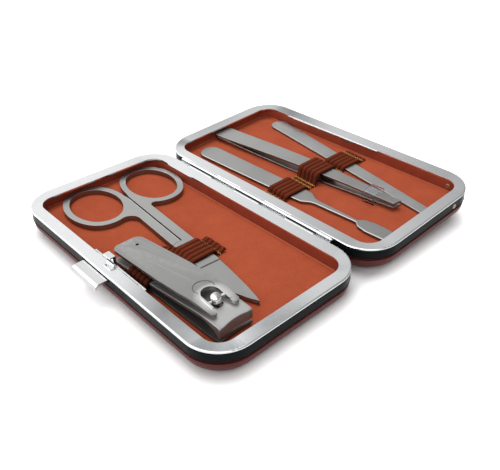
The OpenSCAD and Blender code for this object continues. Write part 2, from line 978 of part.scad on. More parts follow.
module tweezer_tip_band() {
    v0 = 8.6;
    hw = 3.1;
    hz = bow(v0 + tip_band_l) + 0.05;
    t = tip_band_t;
    color(clear) in_tweezers() translate([0, v0, 0]) difference() {
        translate([-hw - t, 0, -hz - t]) cube([2 * (hw + t), tip_band_l, 2 * (hz + t)]);
        translate([-hw, -1, -hz]) cube([2 * hw, tip_band_l + 2, 2 * hz]);
    }
}

// ---- cuticle pusher: local v runs from the spade to the handle end

module cuticle_pusher() {
    end_r = 4.7;
    color(satin_metal) in_lid()
        translate([pu_x, pu_y, tool_z])
            rotate([0, 0, pu_yaw])
                linear_extrude(pu_t) {
                    polygon([
                        [-4.0, 45],
                        [-3.7, 40.5],
                        [-1.6, 37],
                        [-1.25, 35],
                        [-0.75, 16.5],
                        [-2.5, 14.4],
                        [-3.3, 10.5],
                        [-3.1, 3],
                        [-2.0, 0.6],
                        [0, 0],
                        [2.0, 0.6],
                        [3.1, 3],
                        [3.3, 10.5],
                        [2.5, 14.4],
                        [0.75, 16.5],
                        [1.25, 35],
                        [1.6, 37],
                        [3.7, 40.5],
                        [4.0, 45],
                        [end_r, pu_l - end_r],
                        [-end_r, pu_l - end_r]
                    ]);
                    translate([0, pu_l - end_r]) circle(end_r);
                }
}

// ---- nail file: local v runs from the narrow end to the wide one

module nail_file() {
    color(satin_metal) in_lid()
        translate([fi_x, fi_y, tool_z])
            rotate([0, 0, -fi_yaw])
                linear_extrude(fi_t) {
                    polygon([
                        [-fi_w0, 0],
                        [fi_w0, 0],
                        [fi_w1, fi_l - fi_w1],
                        [-fi_w1, fi_l - fi_w1]
                    ]);
                    translate([0, fi_l - fi_w1]) circle(fi_w1);
                }
}

base_frame();
base_rim_band();
base_leather_cover();
base_padding();
base_tray_board();
base_wall_lining();
base_floor_lining();
base_strap();
hinge_pin();
latch_anchor();
latch_leaf();
latch_thumb_tab();
lid_frame();
lid_rim_band();
lid_leather_cover();
lid_padding();
lid_tray_board();
lid_wall_lining();
lid_floor_lining();
lid_strap();
lid_catch_bar();
lid_rivets();
scissor_half_lower();
scissor_half_upper();
scissor_screw();
clipper_lower_jaw();
clipper_upper_jaw();
clipper_rear_rivet();
clipper_pin();
clipper_lever();
tweezer_lower_arm();
tweezer_upper_arm();
tweezer_tip_band();
cuticle_pusher();
nail_file();
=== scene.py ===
"""Looks of an open manicure set case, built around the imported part.

Sizes are written in the case's own millimetres: x across the hinge, with the left half negative,
y along the hinge from the near end, z up from the plane in which the two frames meet. A half's
own sizes count u outward from its hinge-side edge. Everything lands in the shared frame in metres.
"""

import logging
import math
from dataclasses import dataclass, field
from enum import Enum
from typing import Callable, Iterable, Sequence

import bmesh
import bpy
from mathutils import Matrix, Vector, noise


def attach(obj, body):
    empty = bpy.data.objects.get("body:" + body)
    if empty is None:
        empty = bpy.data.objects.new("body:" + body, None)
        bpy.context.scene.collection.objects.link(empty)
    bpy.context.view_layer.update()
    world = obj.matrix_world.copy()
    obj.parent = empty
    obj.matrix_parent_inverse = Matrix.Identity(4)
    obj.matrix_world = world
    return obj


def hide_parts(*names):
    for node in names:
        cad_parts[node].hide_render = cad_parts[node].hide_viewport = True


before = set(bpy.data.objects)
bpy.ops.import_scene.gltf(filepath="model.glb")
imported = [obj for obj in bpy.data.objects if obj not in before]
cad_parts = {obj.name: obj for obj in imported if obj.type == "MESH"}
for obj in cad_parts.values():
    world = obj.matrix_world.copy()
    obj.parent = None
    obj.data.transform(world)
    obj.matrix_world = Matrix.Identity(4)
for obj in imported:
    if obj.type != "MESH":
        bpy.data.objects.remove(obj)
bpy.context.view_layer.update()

LOG = logging.getLogger("manicure_case")
MM = 0.001
SAME_PLACE = 1e-6  # points nearer than this, in metres, are one
Point2 = tuple[float, float]
Point3 = tuple[float, float, float]


class Side(Enum):
    """The two halves of the case, with the sign of x in each."""

    LEFT = -1
    LID = 1


class Slot(Enum):
    """The record's material slots."""

    CHROME = "frame_chrome"
    BAND = "band_black"
    LEATHER = "cover_leather"
    SUEDE = "lining_suede"
    WALL = "wall_suede"
    CARD = "tray_card"
    FOAM = "pad_foam"
    ELASTIC = "strap_elastic"
    STEEL = "tool_steel"
    BRIGHT = "bright_steel"
    BRASS = "rivet_brass"
    CLEAR = "clear_sleeve"


@dataclass(frozen=True)
class CaseSizes:
    """Main sizes of the case, in millimetres, as the part's source has them."""

    length: float = 115.0
    half_width: float = 64.4
    height: float = 10.0
    corner: float = 13.0
    hinge_gap: float = 1.35
    hinge_height: float = 0.65
    lid_tilt: float = 2.74
    flange: float = 4.95
    end_wall: float = 2.8
    tray_corner: float = 5.0
    floor_depth: float = 4.8
    floor_thickness: float = 1.2
    skirt: float = 3.6

    def case_matrix(self) -> Matrix:
        """The matrix that takes case millimetres to the shared frame."""
        x = self.hinge_gap + self.half_width / 2
        return Matrix.Scale(MM, 4) @ Matrix.Translation((x, -self.length / 2, self.height))

    def lid_matrix(self) -> Matrix:
        """Lid coordinates to the shared frame.

        Returns:
            The case matrix with the lid's tilt about the hinge.
        """
        up = Matrix.Translation((0, 0, self.hinge_height))
        turn = Matrix.Rotation(math.radians(-self.lid_tilt), 4, "Y")
        return self.case_matrix() @ up @ turn @ up.inverted()

    def matrix(self, side: Side) -> Matrix:
        """The matrix that takes a half's case millimetres to the shared frame."""
        return self.case_matrix() if side is Side.LEFT else self.lid_matrix()

    def x_of(self, side: Side, u: float) -> float:
        """Case x of a distance u outward from a half's hinge-side edge."""
        return side.value * (self.hinge_gap + u)


SIZES = CaseSizes()


# ---- node groups and finishes


class NodeSheet:
    """Short way to place and join the nodes of a material or node group."""

    MIX_INPUTS = (0, 6, 7)  # factor, A and B of a colour mix
    MIX_RESULT = 2

    def __init__(self, tree: bpy.types.NodeTree) -> None:
        """Takes the tree to fill."""
        self.tree = tree

    def add(self, kind: str, **values: object) -> bpy.types.Node:
        """Adds a node.

        Args:
            kind: The node's type name.
            values: Attributes, or values of inputs with underscores for spaces.

        Returns:
            The new node.
        """
        node = self.tree.nodes.new(kind)
        for name, value in values.items():
            if hasattr(node, name):
                setattr(node, name, value)
            else:
                self.socket(node, name.replace("_", " ")).default_value = value
        return node

    @staticmethod
    def socket(node: bpy.types.Node, name: str) -> bpy.types.NodeSocket:
        """Finds an input by name, whatever its capitals.

        Args:
            node: The node to look in.
            name: The input's name.

        Returns:
            The enabled input of that name.
        """
        for item in node.inputs:
            if item.name.lower() == name.lower() and item.enabled:
                return item
        raise KeyError(f"{node.bl_idname} has no input {name}")

    def join(self, source: object, node: bpy.types.Node, name: str) -> None:
        """Links a node's output to another node's input.

        Args:
            source: The socket that gives the value, or a node for its first output.
            node: The node that takes it.
            name: The input's name.
        """
        if isinstance(source, bpy.types.Node):
            source = source.outputs[0]
        self.tree.links.new(source, self.socket(node, name))

    def math(self, operation: str, a: object, b: object = 0.0) -> bpy.types.Node:
        """Adds a Math node on two values.

        Args:
            operation: The node's operation.
            a: First value or source.
            b: Second value or source.

        Returns:
            The Math node.
        """
        node = self.tree.nodes.new("ShaderNodeMath")
        node.operation = operation
        for i, value in enumerate((a, b)):
            if isinstance(value, (int, float)):
                node.inputs[i].default_value = value
            else:
                source = value.outputs[0] if isinstance(value, bpy.types.Node) else value
                self.tree.links.new(source, node.inputs[i])
        return node

    def mix(self, factor: object, low: object, high: object) -> bpy.types.NodeSocket:
        """Mixes two colours.

        Args:
            factor: Source of the share of high.
            low: Colour or source at 0.
            high: Colour or source at 1.

        Returns:
            The mixed colour's socket.
        """
        node = self.tree.nodes.new("ShaderNodeMix")
        node.data_type = "RGBA"
        for slot, value in zip(self.MIX_INPUTS, (factor, low, high)):
            if isinstance(value, (float, int)):
                node.inputs[slot].default_value = value
            elif isinstance(value, tuple):
                node.inputs[slot].default_value = (*value[:3], 1.0)
            else:
                source = value.outputs[0] if isinstance(value, bpy.types.Node) else value
                self.tree.links.new(source, node.inputs[slot])
        return node.outputs[self.MIX_RESULT]

    def spread(
        self, source: object, low: float = 0.0, high: float = 1.0, start: float = 0.0, end: float = 1.0
    ) -> bpy.types.Node:
        """Maps a value from start..end to low..high.

        Args:
            source: The value's source.
            low: Result at start.
            high: Result at end.
            start: Value that gives low.
            end: Value that gives high.

        Returns:
            The Map Range node.
        """
        node = self.add("ShaderNodeMapRange", clamp=True)
        for name, value in (("From Min", start), ("From Max", end), ("To Min", low), ("To Max", high)):
            self.socket(node, name).default_value = value
        self.join(source, node, "Value")
        return node


FLOAT = "NodeSocketFloat"
VECTOR = "NodeSocketVector"


class Effect:
    """A shader node group that several materials place, built once."""

    WIDE_SHARE = 0.06  # scale of the mottling against the grain's
    ALONG_SHARE = 0.06  # how much slower the brushed lines change along Y
    DOT_SHARE = 4.0  # scale of the blasted dots against the lines'
    WEAVE_DEPTH = 0.25
    THREADS = 4.0  # threads of the weave to each rib
    _made: dict[str, bpy.types.NodeTree] = {}

    @classmethod
    def _group(
        cls, name: str, inputs: Sequence[tuple[str, str, float]], outputs: Sequence[tuple[str, str]]
    ) -> tuple[bpy.types.NodeTree, NodeSheet, bpy.types.Node, bpy.types.Node]:
        """Starts an empty group with its sockets.

        Args:
            name: The group's name.
            inputs: Name, socket type and default of each input.
            outputs: Name and socket type of each output.

        Returns:
            The tree, its sheet, and its input and output nodes.
        """
        tree = bpy.data.node_groups.new(name, "ShaderNodeTree")
        for label, kind, value in inputs:
            socket = tree.interface.new_socket(label, in_out="INPUT", socket_type=kind)
            if kind == FLOAT:
                socket.default_value = value
        for label, kind in outputs:
            tree.interface.new_socket(label, in_out="OUTPUT", socket_type=kind)
        sheet = NodeSheet(tree)
        start, end = sheet.add("NodeGroupInput"), sheet.add("NodeGroupOutput")
        cls._made[name] = tree
        return tree, sheet, start, end

    @classmethod
    def grain(cls) -> bpy.types.NodeTree:
        """Fine grain: pebbled cells mixed with noise.

        Returns:
            Group with inputs Vector, Scale, Cells and outputs Height, Mottle.
        """
        if "SurfaceGrain" in cls._made:
            return cls._made["SurfaceGrain"]
        tree, sheet, start, end = cls._group(
            "SurfaceGrain",
            (("Vector", VECTOR, 0), ("Scale", FLOAT, 2000), ("Cells", FLOAT, 0.5)),
            (("Height", FLOAT), ("Mottle", FLOAT)),
        )
        cells = sheet.add("ShaderNodeTexVoronoi", feature="SMOOTH_F1")
        fine = sheet.add("ShaderNodeTexNoise", Detail=5.0, Roughness=0.6)
        wide = sheet.add("ShaderNodeTexNoise", Detail=4.0, Roughness=0.55)
        for node in (cells, fine, wide):
            tree.links.new(start.outputs["Vector"], node.inputs["Vector"])
        sheet.join(start.outputs["Scale"], cells, "Scale")
        sheet.join(start.outputs["Scale"], fine, "Scale")
        sheet.join(sheet.math("MULTIPLY", start.outputs["Scale"], cls.WIDE_SHARE), wide, "Scale")
        pebble = sheet.math("MULTIPLY", cells.outputs["Distance"], start.outputs["Cells"])
        soft = sheet.math("SUBTRACT", 1.0, start.outputs["Cells"])
        nap = sheet.math("MULTIPLY", fine.outputs[0], soft)
        tree.links.new(sheet.math("ADD", pebble, nap).outputs[0], end.inputs["Height"])
        tree.links.new(sheet.spread(wide.outputs[0], start=0.3, end=0.7).outputs[0], end.inputs["Mottle"])
        return tree

    @classmethod
    def brushing(cls) -> bpy.types.NodeTree:
        """Fine parallel lines of a ground and blasted metal face.

        Returns:
            Group with inputs Vector, Density, Blast and outputs Height, Tone.
        """
        if "BrushedLines" in cls._made:
            return cls._made["BrushedLines"]
        tree, sheet, start, end = cls._group(
            "BrushedLines",
            (("Vector", VECTOR, 0), ("Density", FLOAT, 900), ("Blast", FLOAT, 0.5)),
            (("Height", FLOAT), ("Tone", FLOAT)),
        )
        stretch = sheet.add("ShaderNodeVectorMath", operation="MULTIPLY")
        stretch.inputs[1].default_value = (1.0, cls.ALONG_SHARE, 1.0)
        tree.links.new(start.outputs["Vector"], stretch.inputs[0])
        lines = sheet.add("ShaderNodeTexNoise", Detail=3.0, Roughness=0.5)
        sheet.join(stretch, lines, "Vector")
        sheet.join(start.outputs["Density"], lines, "Scale")
        dots = sheet.add("ShaderNodeTexNoise", Detail=4.0, Roughness=0.7)
        tree.links.new(start.outputs["Vector"], dots.inputs["Vector"])
        sheet.join(sheet.math("MULTIPLY", start.outputs["Density"], cls.DOT_SHARE), dots, "Scale")
        share = sheet.math("MULTIPLY", dots.outputs[0], start.outputs["Blast"])
        rest = sheet.math("SUBTRACT", 1.0, start.outputs["Blast"])
        both = sheet.math("ADD", share, sheet.math("MULTIPLY", lines.outputs[0], rest))
        tree.links.new(both.outputs[0], end.inputs["Height"])
        wide = sheet.add("ShaderNodeTexNoise", Scale=90.0, Detail=3.0)
        tree.links.new(start.outputs["Vector"], wide.inputs["Vector"])
        wide_tone, fine_tone = sheet.math("MULTIPLY", wide.outputs[0], 0.6), sheet.math("MULTIPLY", both, 0.4)
        tone = sheet.math("ADD", wide_tone, fine_tone)
        tree.links.new(sheet.spread(tone, start=0.3, end=0.7).outputs[0], end.inputs["Tone"])
        return tree

    @classmethod
    def edge_wear(cls) -> bpy.types.NodeTree:
        """Mask of the rubbed outer edges of a piece.

        Returns:
            Group with inputs Vector, Amount and output Mask.
        """
        if "EdgeWear" in cls._made:
            return cls._made["EdgeWear"]
        tree, sheet, start, end = cls._group(
            "EdgeWear",
            (("Vector", VECTOR, 0), ("Amount", FLOAT, 1.0)),
            (("Mask", FLOAT),),
        )
        shape = sheet.add("ShaderNodeNewGeometry")
        edge = sheet.spread(shape.outputs["Pointiness"], start=0.55, end=0.66)
        broken = sheet.add("ShaderNodeTexNoise", Scale=700.0, Detail=3.0)
        tree.links.new(start.outputs["Vector"], broken.inputs["Vector"])
        patches = sheet.spread(broken.outputs[0], low=0.3, start=0.35, end=0.6)
        patchy = sheet.math("MULTIPLY", edge, patches)
        worn = sheet.math("MULTIPLY", patchy, start.outputs["Amount"])
        tree.links.new(worn.outputs[0], end.inputs["Mask"])
        return tree

    @classmethod
    def ribbing(cls) -> bpy.types.NodeTree:
        """Knitted ribs: lines along the strap with fine stitches across them.

        Returns:
            Group with inputs UV, Ribs, Stitches and outputs Height, Crest.
        """
        if "ElasticRibs" in cls._made:
            return cls._made["ElasticRibs"]
        tree, sheet, start, end = cls._group(
            "ElasticRibs",
            (("UV", VECTOR, 0), ("Ribs", FLOAT, 5), ("Stitches", FLOAT, 60)),
            (("Height", FLOAT), ("Crest", FLOAT)),
        )
        split = sheet.add("ShaderNodeSeparateXYZ")
        tree.links.new(start.outputs["UV"], split.inputs[0])
        rib = sheet.math("MULTIPLY", split.outputs[1], start.outputs["Ribs"])
        turn = sheet.math("MULTIPLY", rib, math.tau)
        crest = sheet.math("MULTIPLY_ADD", sheet.math("COSINE", turn), -0.5)
        crest.inputs[2].default_value = 0.5
        knit = sheet.math("SINE", sheet.math("MULTIPLY", split.outputs[0], start.outputs["Stitches"]))
        thread = sheet.math("SINE", sheet.math("MULTIPLY", turn, cls.THREADS))
        weave = sheet.math("MULTIPLY", sheet.math("MULTIPLY", knit, thread), cls.WEAVE_DEPTH)
        tree.links.new(sheet.math("ADD", crest, weave).outputs[0], end.inputs["Height"])
        tree.links.new(crest.outputs[0], end.inputs["Crest"])
        return tree


@dataclass(frozen=True)
class Finish:
    """A surface finish. Subclasses fill the node tree."""

    name: str
    roughness: float = 0.5
    metallic: float = 0.0
    constants: tuple[tuple[str, object], ...] = ()

    def build(self) -> bpy.types.Material:
        """Makes the material once, and returns the same one after that.

        Returns:
            The material.
        """
        found = bpy.data.materials.get(self.name)
        if found:
            return found
        material = bpy.data.materials.new(self.name)
        material.use_nodes = True
        sheet = NodeSheet(material.node_tree)
        shader = material.node_tree.nodes["Principled BSDF"]
        shader.inputs["Metallic"].default_value = self.metallic
        shader.inputs["Roughness"].default_value = self.roughness
        for label, value in self.constants:
            shader.inputs[label].default_value = value
        place = sheet.add("ShaderNodeTexCoord")
        self.fill(sheet, shader, place.outputs["Object"], place.outputs["UV"])
        return material

    def fill(
        self, sheet: NodeSheet, shader: bpy.types.Node, spot: bpy.types.NodeSocket, uv: bpy.types.NodeSocket
    ) -> None:
        """Joins the finish's own nodes; subclasses say which."""

    @staticmethod
    def place(sheet: NodeSheet, group: bpy.types.NodeTree, source: object, **values: float) -> bpy.types.Node:
        """Places an effect.

        Args:
            sheet: The material's sheet.
            group: The effect's node group.
            source: What its first input takes.
            values: The other inputs' values.

        Returns:
            The group node.
        """
        node = sheet.tree.nodes.new("ShaderNodeGroup")
        node.node_tree = group
        sheet.tree.links.new(source, node.inputs[0])
        for label, value in values.items():
            node.inputs[label].default_value = value
        return node

    @staticmethod
    def bump(sheet: NodeSheet, shader: bpy.types.Node, height: object, depth: float) -> None:
        """Feeds a height to the shader's normal.

        Args:
            sheet: The material's sheet.
            shader: The shader.
            height: The height's socket.
            depth: Full height in millimetres.
        """
        node = sheet.add("ShaderNodeBump", Strength=1.0, Distance=depth * MM)
        sheet.join(height, node, "Height")
        sheet.join(node, shader, "Normal")


@dataclass(frozen=True)
class MetalFinish(Finish):
    """Polished, blasted or plated metal."""

    metallic: float = 1.0
    dark: tuple[float, float, float] = (0.4, 0.4, 0.4)
    light: tuple[float, float, float] = (0.5, 0.5, 0.5)
    worn: tuple[float, float, float] = (0.7, 0.7, 0.7)
    # colour of the painted shade on steep faces
    side: tuple[float, float, float] = (0.03, 0.03, 0.03)
    rough_low: float = 0.3
    rough_high: float = 0.4
    density: float = 900.0
    blast: float = 0.5
    depth: float = 0.01
    wear: float = 0.6
    # tone that steep faces keep against the painted shade, and the range of upright normals over which the
    # shade fades out
    side_shade_tone: float = 1.0
    side_shade_span: Point2 = (0.25, 0.6)
    # painted highlight: a lighter colour round one spot, fading out between two distances
    painted_highlight: tuple[float, float, float] = (0.9, 0.9, 0.9)
    painted_highlight_at: Point3 = (0.0, 0.0, 0.0)  # centre of the painted highlight, in the frame's millimetres
    painted_highlight_reach: Point2 = (0.0, 0.0)

    def fill(
        self, sheet: NodeSheet, shader: bpy.types.Node, spot: bpy.types.NodeSocket, uv: bpy.types.NodeSocket
    ) -> None:
        """Joins brushing, wear and tone, a painted highlight round one spot and painted shade on steep faces.

        Args:
            sheet: The material's sheet.
            shader: Its Principled shader.
            spot: The object coordinates.
            uv: The UV coordinates, not used.
        """
        lines = self.place(sheet, Effect.brushing(), spot, Density=self.density, Blast=self.blast)
        wear = self.place(sheet, Effect.edge_wear(), spot, Amount=self.wear)
        base = sheet.mix(lines.outputs["Tone"], self.dark, self.light)
        # painted highlight round one spot
        if self.painted_highlight_reach[1] > 0:
            away = sheet.add("ShaderNodeVectorMath", operation="DISTANCE")
            sheet.tree.links.new(spot, away.inputs[0])
            away.inputs[1].default_value = Vector(self.painted_highlight_at) * MM
            highlight_share = sheet.spread(away.outputs["Value"], 1.0, 0.0, *(d * MM for d in self.painted_highlight_reach))
            base = sheet.mix(highlight_share, base, self.painted_highlight)
        # painted shade: steep faces darken towards the side colour, by the object's normal
        if self.side_shade_tone < 1:
            facing = sheet.add("ShaderNodeTexCoord")
            split = sheet.add("ShaderNodeSeparateXYZ")
            sheet.tree.links.new(facing.outputs["Normal"], split.inputs[0])
            upright = sheet.math("ABSOLUTE", split.outputs[2])
            side_shade = sheet.spread(upright, 1.0 - self.side_shade_tone, 0.0, *self.side_shade_span)
            base = sheet.mix(side_shade, base, self.side)
        sheet.join(sheet.mix(wear.outputs["Mask"], base, self.worn), shader, "Base Color")
        sheet.join(sheet.spread(lines.outputs["Tone"], self.rough_low, self.rough_high), shader, "Roughness")
        self.bump(sheet, shader, lines.outputs["Height"], self.depth)


@dataclass(frozen=True)
class GrainFinish(Finish):
    """Leather, suede, foam or board: a grain with two tones."""

    deep: tuple[float, float, float] = (0.1, 0.1, 0.1)
    pale: tuple[float, float, float] = (0.2, 0.2, 0.2)
    rubbed: tuple[float, float, float] = (0.3, 0.3, 0.3)
    rough_low: float = 0.7
    rough_high: float = 0.9
    scale: float = 2000.0
    cells: float = 0.5
    depth: float = 0.05
    wear: float = 0.4
    fleck: float = 0.35
    fleck_span: Point2 = (0.25, 0.65)
    crease: float = 0.0
    crease_scale: float = 130.0

    def fill(
        self, sheet: NodeSheet, shader: bpy.types.Node, spot: bpy.types.NodeSocket, uv: bpy.types.NodeSocket
    ) -> None:
        """Joins grain, mottling, creases and rubbed edges.

        Args:
            sheet: The material's sheet.
            shader: Its Principled shader.
            spot: The object coordinates.
            uv: The UV coordinates, not used.
        """
        grain = self.place(sheet, Effect.grain(), spot, Scale=self.scale, Cells=self.cells)
        wear = self.place(sheet, Effect.edge_wear(), spot, Amount=self.wear)
        fine = sheet.spread(grain.outputs["Height"], self.fleck, 1.0, *self.fleck_span)
        blend = sheet.math("MULTIPLY", sheet.spread(grain.outputs["Mottle"], self.fleck), fine)
        base = sheet.mix(blend, self.deep, self.pale)
        sheet.join(sheet.mix(wear.outputs["Mask"], base, self.rubbed), shader, "Base Color")
        height: object = grain.outputs["Height"]
        sheet.join(sheet.spread(height, self.rough_high, self.rough_low), shader, "Roughness")
        if self.crease > 0:
            folds = sheet.add("ShaderNodeTexNoise", Scale=self.crease_scale, Detail=2.0, Distortion=1.5)
            sheet.join(spot, folds, "Vector")
            height = sheet.math("ADD", height, sheet.math("MULTIPLY", folds.outputs[0], self.crease))
        self.bump(sheet, shader, height, self.depth)


@dataclass(frozen=True)
class ElasticFinish(Finish):
    """Ribbed elastic, lighter on its crests and dark in the valleys between the ribs: painted shade in the
    valleys.
    """

    valley_shade: tuple[float, float, float] = (0.03, 0.01, 0.005)
    crest: tuple[float, float, float] = (0.12, 0.04, 0.02)
    ribs: float = 5.0
    stitches: float = 500.0
    painted_shade_at: Point2 = (-16.0, -12.0)  # X where the painted shade on the strap is full, and where it ends
    painted_shade_tone: float = 0.4
    fluff_scale: float = 3500.0
    fluff: float = 0.5
    relief: float = 0.12

    def fill(
        self, sheet: NodeSheet, shader: bpy.types.Node, spot: bpy.types.NodeSocket, uv: bpy.types.NodeSocket
    ) -> None:
        """Joins the ribs, a little fluff and the side that the clipper has rubbed dark.

        Args:
            sheet: The material's sheet.
            shader: Its Principled shader.
            Joins the ribs, a little fluff and a painted shade that darkens the strap towards low X, beside
            the clipper.
            uv: The UV coordinates along and across the strap.
        """
        ribs = self.place(sheet, Effect.ribbing(), uv, Ribs=self.ribs, Stitches=self.stitches)
        grain = self.place(sheet, Effect.grain(), spot, Scale=self.fluff_scale, Cells=0.3)
        # the crest mask mixes the valleys' painted shade with the lighter crests
        share = sheet.math("MULTIPLY", ribs.outputs["Crest"], sheet.spread(grain.outputs["Height"], low=0.4))
        split = sheet.add("ShaderNodeSeparateXYZ")
        sheet.join(spot, split, "Vector")
        # painted shade: the strap darkens towards low X, where it runs into the shaded gap beside the clipper
        unshaded = sheet.spread(split.outputs[0], self.painted_shade_tone, 1.0, *(x * MM for x in self.painted_shade_at))
        base = sheet.mix(unshaded, (0.0, 0.0, 0.0), sheet.mix(share, self.valley_shade, self.crest))
        sheet.join(base, shader, "Base Color")
        fluff = sheet.math("MULTIPLY", grain.outputs["Height"], self.fluff)
        height = sheet.math("ADD", ribs.outputs["Height"], fluff)
        self.bump(sheet, shader, height, self.relief)


@dataclass(frozen=True)
class ClearFinish(Finish):
    """Clear soft plastic with faint handling marks."""

    mark_scale: float = 1500.0
    mark_rough: Point2 = (0.06, 0.2)
    relief: float = 0.01

    def fill(
        self, sheet: NodeSheet, shader: bpy.types.Node, spot: bpy.types.NodeSocket, uv: bpy.types.NodeSocket
    ) -> None:
        """Joins the marks.

        Args:
            sheet: The material's sheet.
            shader: Its Principled shader.
            spot: The object coordinates.
            uv: The UV coordinates, not used.
        """
        grain = self.place(sheet, Effect.grain(), spot, Scale=self.mark_scale, Cells=0.2)
        sheet.join(sheet.spread(grain.outputs["Mottle"], *self.mark_rough), shader, "Roughness")
        self.bump(sheet, shader, grain.outputs["Height"], self.relief)


CHROME = MetalFinish(
    "frame_chrome_plate", dark=(0.76, 0.78, 0.79), light=(0.83, 0.84, 0.85), worn=(0.92, 0.92, 0.92),
    rough_low=0.10, rough_high=0.17, density=500.0, blast=0.8, depth=0.001, wear=0.4,
)
BAND = MetalFinish(
    "rim_band_enamel", metallic=0.0, dark=(0.004, 0.006, 0.006), light=(0.010, 0.014, 0.014),
    worn=(0.03, 0.03, 0.03), rough_low=0.16, rough_high=0.26, blast=0.9, depth=0.002, wear=0.1,
    constants=(("Specular IOR Level", 0.045),),
)
STEEL = MetalFinish(
    "tool_satin_steel", dark=(0.42, 0.42, 0.41), light=(0.49, 0.49, 0.48), worn=(0.78, 0.78, 0.77),
    rough_low=0.30, rough_high=0.40, density=1500.0, blast=0.7, depth=0.006, wear=0.6, side_shade_tone=0.45,
)
GRIT = MetalFinish(
    "file_gritted_steel", dark=(0.47, 0.48, 0.48), light=(0.60, 0.61, 0.61), worn=(0.8, 0.8, 0.8),
    rough_low=0.36, rough_high=0.5, density=2400.0, blast=0.95, depth=0.016, wear=0.4, side_shade_tone=0.5,
)
# the jaw's lighter front is a painted highlight
JAW = MetalFinish(
    "jaw_ground_steel", metallic=0.6, dark=(0.25, 0.25, 0.245), light=(0.31, 0.31, 0.305),
    worn=(0.7, 0.7, 0.69), rough_low=0.34, rough_high=0.44, density=1500.0, blast=0.7, depth=0.006,
    wear=0.6, side_shade_tone=0.5,
    painted_highlight=(0.55, 0.55, 0.54), painted_highlight_at=(-16.5, -46.5, 11.2), painted_highlight_reach=(5.0, 9.0),
)
# A darker copy of the jaw steel: painted shade on the lower jaw, which lies under the upper jaw and lever,
# and along the lever's stamped arc.
JAW_DARK = MetalFinish(
    "jaw_dark_steel", metallic=0.8, dark=(0.13, 0.13, 0.13), light=(0.18, 0.18, 0.18),
    worn=(0.5, 0.5, 0.5), rough_low=0.34, rough_high=0.44, density=1500.0, blast=0.7, depth=0.006, wear=0.4,
)
# the lever's lighter fork is a painted highlight
LEVER = MetalFinish(
    "lever_satin_steel", dark=(0.31, 0.31, 0.305), light=(0.36, 0.36, 0.355), worn=(0.7, 0.7, 0.69),
    rough_low=0.32, rough_high=0.38, density=1500.0, blast=0.8, depth=0.004, wear=0.3, side_shade_tone=0.5,
    painted_highlight=(0.95, 0.95, 0.95), painted_highlight_at=(-16.55, -39.9, 14.0), painted_highlight_reach=(4.0, 7.0),
)
BRIGHT = MetalFinish(
    "bright_polished_steel", dark=(0.66, 0.66, 0.66), light=(0.78, 0.78, 0.78), worn=(0.9, 0.9, 0.9),
    rough_low=0.12, rough_high=0.22, density=800.0, blast=0.4, depth=0.002, wear=0.4,
)
BRASS = MetalFinish(
    "rivet_polished_brass", metallic=0.5, dark=(0.46, 0.33, 0.17), light=(0.58, 0.44, 0.25),
    worn=(0.75, 0.62, 0.42), rough_low=0.2, rough_high=0.3, blast=0.6, depth=0.002, wear=0.4, side_shade_tone=0.6,
)
LEATHER = GrainFinish(
    "cover_burgundy_leather", deep=(0.070, 0.012, 0.012), pale=(0.140, 0.026, 0.024),
    rubbed=(0.26, 0.07, 0.06), rough_low=0.32, rough_high=0.5, scale=1900.0, cells=0.75,
    depth=0.09, wear=0.5, crease=0.9,
    constants=(("Coat Weight", 0.07), ("Coat Roughness", 0.3), ("Specular IOR Level", 0.25)),
)
SUEDE_SHEEN: tuple[tuple[str, object], ...] = (("Sheen Weight", 0.04), ("Sheen Tint", (1.0, 0.5, 0.35, 1.0)))
SUEDE = GrainFinish(
    "lining_terracotta_suede", deep=(0.350, 0.066, 0.029), pale=(0.500, 0.104, 0.046),
    rubbed=(0.62, 0.17, 0.08), rough_low=0.82, rough_high=0.95, scale=1700.0, cells=0.15,
    depth=0.06, wear=0.5, crease=0.35,
    constants=(*SUEDE_SHEEN, ("Sheen Roughness", 0.5), ("Specular IOR Level", 0.15)),
)
# The lining suede in darker tones: painted shade on the tray's walls.
WALL = GrainFinish(
    "wall_shaded_suede", deep=(0.275, 0.050, 0.026), pale=(0.420, 0.082, 0.042),
    rubbed=(0.52, 0.15, 0.09), rough_low=0.8, rough_high=0.95, scale=3600.0, cells=0.15,
    depth=0.05, wear=0.5, crease=0.3,
    constants=(*SUEDE_SHEEN, ("Specular IOR Level", 0.15)),
)
# Paler suede for the roll along the floor's edge: a painted highlight where the turned edge catches the
# light.
EDGE_HIGHLIGHT_SUEDE = GrainFinish(
    "lining_edge_highlight_suede", deep=(0.50, 0.13, 0.06), pale=(0.66, 0.21, 0.10), rubbed=(0.75, 0.3, 0.17),
    rough_low=0.8, rough_high=0.95, scale=3600.0, cells=0.15, depth=0.03, wear=0.3,
    constants=(("Specular IOR Level", 0.2),),
)
CARD = GrainFinish(
    "tray_fibre_card", deep=(0.20, 0.15, 0.09), pale=(0.33, 0.26, 0.17), scale=2600.0, cells=0.1,
)
FOAM = GrainFinish(
    "pad_soft_foam", deep=(0.55, 0.52, 0.42), pale=(0.70, 0.68, 0.58), scale=1400.0, cells=0.9, depth=0.2,
)
THREAD = GrainFinish(
    "stitch_gold_thread", deep=(0.50, 0.24, 0.055), pale=(0.85, 0.50, 0.15), rough_low=0.4, rough_high=0.6,
    scale=6000.0, cells=0.3, depth=0.03, wear=0.0, constants=(("Specular IOR Level", 0.4),),
)
ELASTIC = ElasticFinish(
    "strap_brown_elastic", roughness=0.8, valley_shade=(0.075, 0.013, 0.006), crest=(0.255, 0.052, 0.019),
    constants=(("Specular IOR Level", 0.08),),
)
CLEAR = ClearFinish(
    "sleeve_clear_plastic",
    constants=(("Transmission Weight", 1.0), ("IOR", 1.15), ("Base Color", (0.90, 0.92, 0.95, 1.0))),
)


# ---- mesh work


